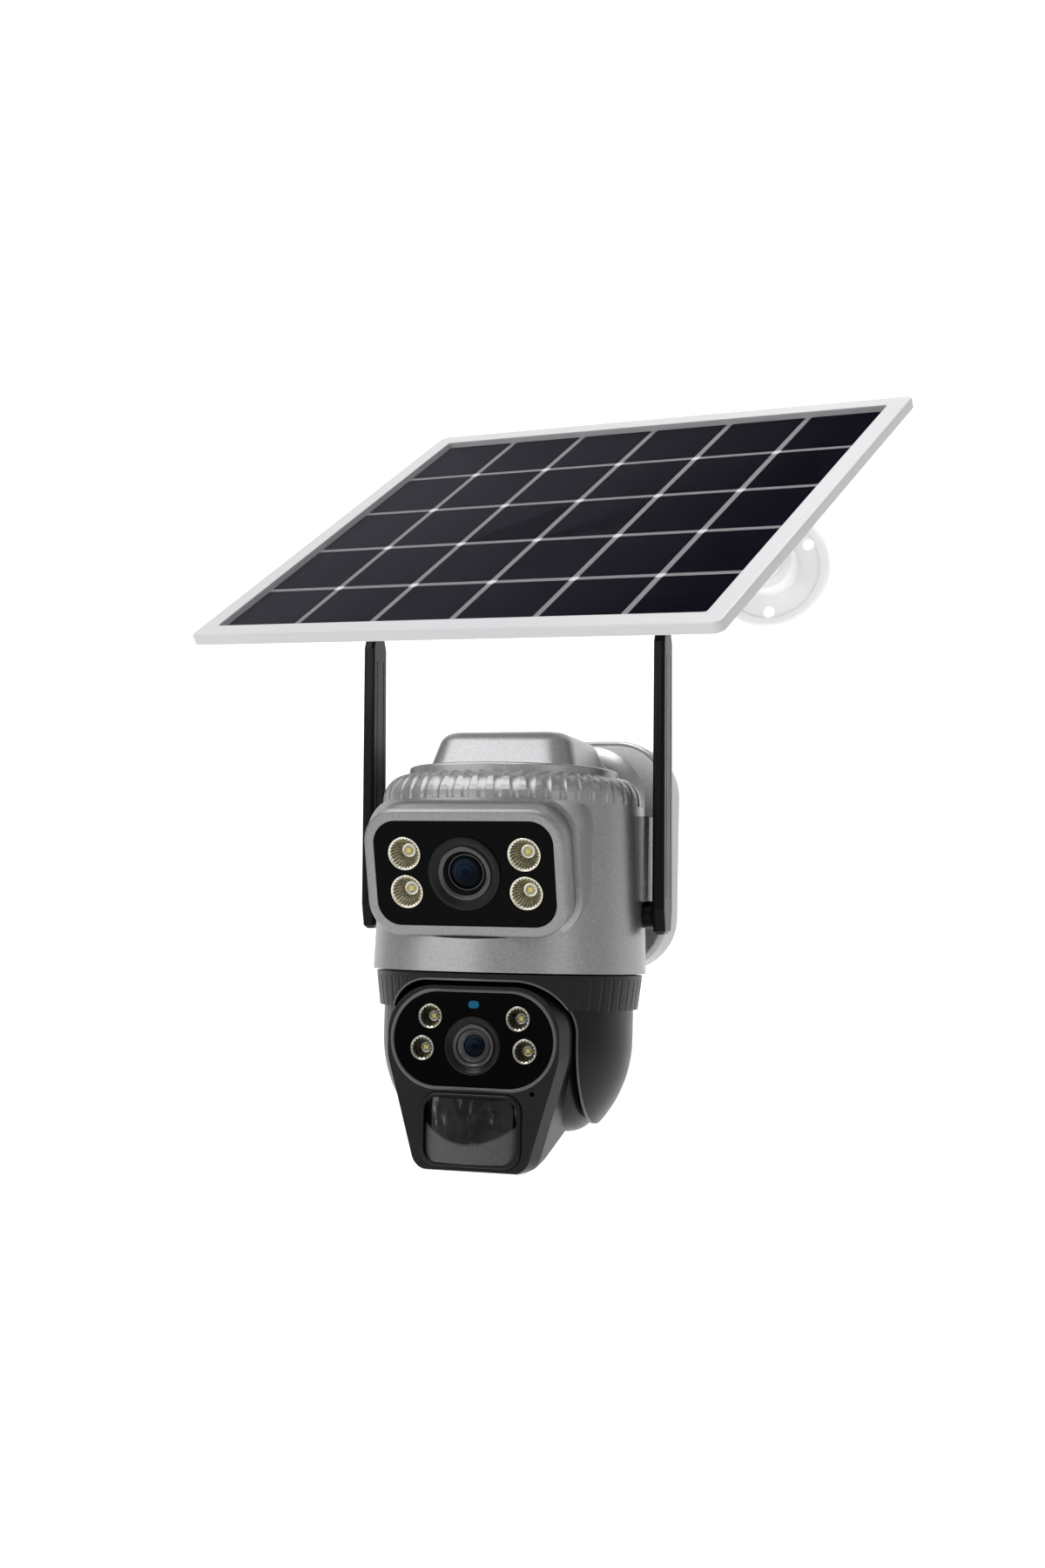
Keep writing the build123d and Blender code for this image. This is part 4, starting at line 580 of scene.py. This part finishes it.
def hood(matrix, r, depth, tube_r, glass_r):
    """Lens hood: a rounded black lip, a grey bevelled ring inside it and small steps down to the glass."""
    def build(bm):
        body = [(r, -1.8), (r, 0.0), (r - 0.25, 0.42), (r - 0.9, 0.60), (r * 0.90, 0.52), (r * 0.84, 0.10),
                (r * 0.78, -0.55), (r * 0.74, -0.80), (r * 0.60, -0.90)]
        steps = 6
        for i in range(steps):
            t = i / steps
            radius = r * 0.585 * (1 - t) + (glass_r + 0.35) * t
            body.append((radius, -1.3 - 2.0 * t))
            body.append((radius - 0.12, -1.55 - 2.0 * t))
        body += [(glass_r + 0.02, -3.4), (glass_r + 0.02, -5.0), (tube_r - 1.6, -5.4)]
        body += [(tube_r - 1.6, -depth + 0.6), (tube_r, -depth + 0.6), (tube_r, -2.4)]
        lathe(bm, matrix, body, 128, 0)
        bevel = [(r * 0.735, -0.82), (r * 0.725, -0.35), (r * 0.70, -0.12)]
        bevel += [(r * 0.665, -0.12), (r * 0.60, -0.70), (r * 0.592, -0.95)]
        lathe(bm, matrix, bevel, 128, 1)
        cone = [(r * 0.57, -1.35), (r * 0.56, -1.20), (glass_r + 0.7, -2.7), (glass_r + 0.6, -3.1)]
        lathe(bm, matrix, cone, 128, 2)
        seat = [(glass_r + 0.50, -3.3), (glass_r + 0.46, -2.95)]
        seat += [(glass_r + 0.15, -2.95), (glass_r + 0.05, -3.38)]
        lathe(bm, matrix, seat, 128, 1)
    return build


def front_glass(matrix, r, bulge):
    def build(bm):
        profile = [(0, -5.0), (r, -5.0), (r, -3.9)]
        for i in range(1, 14):
            a = math.radians(90 * (i / 14))
            profile.append((r * math.cos(a) ** 0.9, -3.9 + bulge * math.sin(a)))
        profile.append((0, -3.9 + bulge))
        disc_lathe(bm, matrix, profile, 96)
    return build


UPPER_FRAME = facing(FACE_AT, FACE_OUT)
LOWER_FRAME = facing(LOWER_LENS_AT, AHEAD)
UPPER_RINGS = [FINISHES["lens_ring"], CHAMFER, FINISHES["lens_ring"]]
LOWER_RINGS = [FINISHES["lens_ring"], CHAMFER, CONE_GREY]
piece("upper_lens_hood", hood(UPPER_FRAME, 16.9, 20.0, 10.5, UPPER_LENS_R), "housing",
      UPPER_RINGS, ["upper_lens_barrel"], 24.0)
piece("lower_lens_hood", hood(LOWER_FRAME, 13.3, 17.5, 8.3, LOWER_LENS_R), "head",
      LOWER_RINGS, ["head_lens_barrel"], 24.0)
piece("upper_front_glass", front_glass(UPPER_FRAME, UPPER_LENS_R, 1.9), "housing",
      [UPPER_GLASS], ["upper_lens_glass"])
piece("lower_front_glass", front_glass(LOWER_FRAME, LOWER_LENS_R, 1.3), "head",
      [LOWER_GLASS], ["head_lens_glass"])

# ---- bead round the lower camera's oval window ---------------------------------------------------------


def oval(w, h, steps=24):
    """Points of a rounded oval w by h with nearly half-round ends."""
    r = h / 2 - 0.1
    points = []
    for cx, cy, start in ((w / 2 - r, h / 2 - r, 0), (r - w / 2, h / 2 - r, 90), (r - w / 2, r - h / 2, 180),
                          (w / 2 - r, r - h / 2, 270)):
        for i in range(steps + 1):
            a = math.radians(start + 90 * i / steps)
            points.append((cx + r * math.cos(a), cy + r * math.sin(a), a))
    return points


def window_bead(bm):
    """Half-round bead that stands 0.5 mm proud of the head's front; its lighter grey is a painted highlight
    along the window's edge.
    """
    place = facing(WINDOW_AT, AHEAD)
    section = [(-0.25, -0.9), (-0.15, 0.20), (0.25, 0.50), (0.85, 0.50)]
    section += [(1.30, 0.25), (1.5, -0.15), (1.4, -0.9)]
    rings = []
    for x, y, a in oval(WINDOW_W, WINDOW_H):
        ring = []
        for out, z in section:
            ring.append(bm.verts.new(place @ Vector((x + out * math.cos(a), y + out * math.sin(a), z))))
        rings.append(ring)
    for near, far in zip(rings, rings[1:] + rings[:1]):
        for k in range(len(section)):
            n = (k + 1) % len(section)
            bm.faces.new((near[k], near[n], far[n], far[k]))


piece("window_bead", window_bead, "head", [RIM_HIGHLIGHT_GREY])

# ---- bead along the fork's opening ---------------------------------------------------------------------


YOKE_RING_LOW_Z = -16.8
YOKE_RING_R = 61.4
YOKE_BALL_Z = -31
YOKE_BALL_R = 59.3
FORK_HALF = 44.5
FORK_LOW_Z = -69.0
FORK_TOP_Z = -3.5
FORK_CORNER_R = 24
FORK_CORNER_X = 20.5
FORK_CORNER_Z = -27.5


def yoke_front(x, z):
    """How far forward the yoke's outer skin is at x, z, in millimetres from the pan axis."""
    if z > YOKE_RING_LOW_Z:
        radius = YOKE_RING_R + 2.0 * (z - YOKE_RING_LOW_Z) / 16.0
    elif z > YOKE_BALL_Z:
        radius = YOKE_BALL_R
    else:
        radius = math.sqrt(max(YOKE_BALL_R ** 2 - (z - YOKE_BALL_Z) ** 2, 0.0))
    return -math.sqrt(max(radius ** 2 - x ** 2, 0.0))


def fork_bead():
    """Thin bead up one side of the opening, over its top and down the other side, in a lighter grey that
    paints the highlight along the opening's edge.
    """
    side = []
    for i in range(27):
        side.append((-FORK_HALF, FORK_LOW_Z + (FORK_CORNER_Z - FORK_LOW_Z) * i / 26))
    for i in range(1, 19):
        a = math.radians(180 - 90 * i / 18)
        x = -FORK_CORNER_X + FORK_CORNER_R * math.cos(a)
        side.append((x, FORK_CORNER_Z + FORK_CORNER_R * math.sin(a)))
    top = [(-FORK_CORNER_X + 2 * FORK_CORNER_X * i / 14, FORK_TOP_Z) for i in range(1, 15)]
    line = side + top + [(-x, z) for x, z in reversed(side)]
    data = bpy.data.curves.new("fork_bead", "CURVE")
    data.dimensions = "3D"
    data.bevel_depth = 0.55 * MM
    data.bevel_resolution = 3
    spline = data.splines.new("POLY")
    spline.points.add(len(line) - 1)
    for point, (x, z) in zip(spline.points, line):
        point.co = (x * MM, (yoke_front(x, z) + 0.25 + PAN_AXIS_Y) * MM, (z + PAN_TOP_Z) * MM, 1.0)
    data.materials.append(RIM_HIGHLIGHT_GREY)
    made = bpy.data.objects.new("fork_bead", data)
    scene.collection.objects.link(made)
    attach(made, "yoke")


fork_bead()

# ---- charging socket's face ----------------------------------------------------------------------------


def socket_face(bm):
    """Black ring of the barrel socket, with its plated sleeve and pin."""
    place = facing(SOCKET_AT, Vector((-1, 0, 0)), Vector((0, 1, 0)))
    ring = [(4.9, -0.3), (4.9, 0.15), (4.6, 0.45), (3.3, 0.45), (2.95, 0.15), (2.9, -0.3)]
    sleeve = [(2.85, -0.3), (2.85, 0.1), (2.6, 0.1), (2.55, -6.5), (2.7, -6.5)]
    pin = [(0, -8.0), (0.95, -8.0), (0.95, -1.2), (0.6, -0.8), (0, -0.8)]
    lathe(bm, place, ring, 64, 0)
    lathe(bm, place, sleeve, 64, 1)
    disc_lathe(bm, place, pin, 32, 1)


piece("socket_face", socket_face, "housing",
      [FINISHES["inner_black"], FINISHES["screw_steel"]])

# ---- panel: the sheet that shows between the cells -----------------------------------------------------


SHEET_PLAY = 0.3
SHEET_BACK = -3.19
SHEET_FRONT = -3.08


def backsheet(bm):
    """Thin sheet just under the cells, in millimetres in the panel's plane."""
    w = (PANEL_W - PANEL_BORDERS) / MM - 2 * SHEET_PLAY
    h = (PANEL_H - PANEL_BORDERS) / MM - 2 * SHEET_PLAY
    slab(bm, PANEL @ Matrix.Scale(MM, 4), w, h, SHEET_BACK, SHEET_FRONT, 0.02, 0)


piece("panel_backsheet", backsheet, "panel", [BACKSHEET])

# ---- floor, light and camera ---------------------------------------------------------------------------


def floor_paint():
    p = Paint("studio_floor")
    cloud = p.noise(0.8, 3.0)
    p.set(base=p.ramp(cloud, [(0.3, grey(0.90)), (0.7, grey(0.93))]),
          rough=p.remap(cloud, 0.3, 0.7, 0.85, 0.95), glow=0.35, glow_colour=grey(1.0))
    return p.material


def studio_sweep():
    """Floor that curves up into a backdrop behind the object."""
    mesh = bpy.data.meshes.new("studio_floor")
    bm = bmesh.new()
    floor_z = -0.60
    back_y = 2.2
    radius = 1.2
    line = [(-4.5, floor_z), (back_y - radius, floor_z)]
    for i in range(1, 13):
        a = math.radians(90 * i / 12)
        line.append((back_y - radius + radius * math.sin(a), floor_z + radius - radius * math.cos(a)))
    line.append((back_y, 4.0))
    rows = []
    for y, z in line:
        rows.append([bm.verts.new((x, y, z)) for x in (-5.0, 5.0)])
    for near, far in zip(rows, rows[1:]):
        bm.faces.new((near[0], near[1], far[1], far[0])).smooth = True
    bm.to_mesh(mesh)
    bm.free()
    mesh.materials.append(floor_paint())
    made = bpy.data.objects.new("studio_floor", mesh)
    scene.collection.objects.link(made)


studio_sweep()

world = bpy.data.worlds.new("studio_world")
world.use_nodes = True
world.node_tree.nodes["Background"].inputs["Color"].default_value = (1.0, 1.0, 1.0, 1.0)
world.node_tree.nodes["Background"].inputs["Strength"].default_value = 0.54
scene.world = world


def softbox(name, place, target, size, power):
    data = bpy.data.lights.new(name, "AREA")
    data.shape = "RECTANGLE"
    data.size = size[0]
    data.size_y = size[1]
    data.energy = power
    made = bpy.data.objects.new(name, data)
    made.location = place
    made.rotation_euler = (Vector(target) - Vector(place)).to_track_quat("-Z", "Y").to_euler()
    scene.collection.objects.link(made)


softbox("key_light", (-0.9, -1.6, 1.5), (0.0, -0.1, 0.0), (0.9, 0.9), 26)
softbox("fill_light", (1.7, -1.1, 0.5), (0.0, -0.1, 0.0), (0.7, 1.4), 3)
softbox("top_light", (0.1, 0.1, 1.9), (0.0, -0.1, 0.0), (1.2, 0.8), 22)
softbox("front_light", (-1.0, -1.4, 0.10), (0.0, -0.1, -0.02), (1.8, 0.4), 4)
softbox("crown_light", (-0.02, -0.165, 0.092), (0.0, -0.10, 0.02), (0.17, 0.07), 0.10)
bpy.data.objects["crown_light"].visible_camera = False

VIEW_TURN = math.radians(17.0)
VIEW_RISE = 0.080
VIEW_ROLL = 0.023
right = Vector((math.cos(VIEW_TURN), math.sin(VIEW_TURN), 0))
ahead = Vector((-math.sin(VIEW_TURN), math.cos(VIEW_TURN), 0))
forward = ahead * math.cos(VIEW_RISE) + Vector((0, 0, 1)) * math.sin(VIEW_RISE)
up = right.cross(forward)
rolled_right = right * math.cos(VIEW_ROLL) + up * math.sin(VIEW_ROLL)
rolled_up = up * math.cos(VIEW_ROLL) - right * math.sin(VIEW_ROLL)
camera_data = bpy.data.cameras.new("photo_camera")
camera_data.sensor_width = 36.0
camera_data.lens = 44.0
camera_data.clip_start = 0.02
camera_data.clip_end = 50.0
camera = bpy.data.objects.new("photo_camera", camera_data)
turn = Matrix((rolled_right, rolled_up, -forward)).transposed().to_4x4()
camera.matrix_world = Matrix.Translation((0.2732, -0.9568, -0.0422)) @ turn
scene.collection.objects.link(camera)
scene.camera = camera
scene.view_settings.view_transform = "Standard"
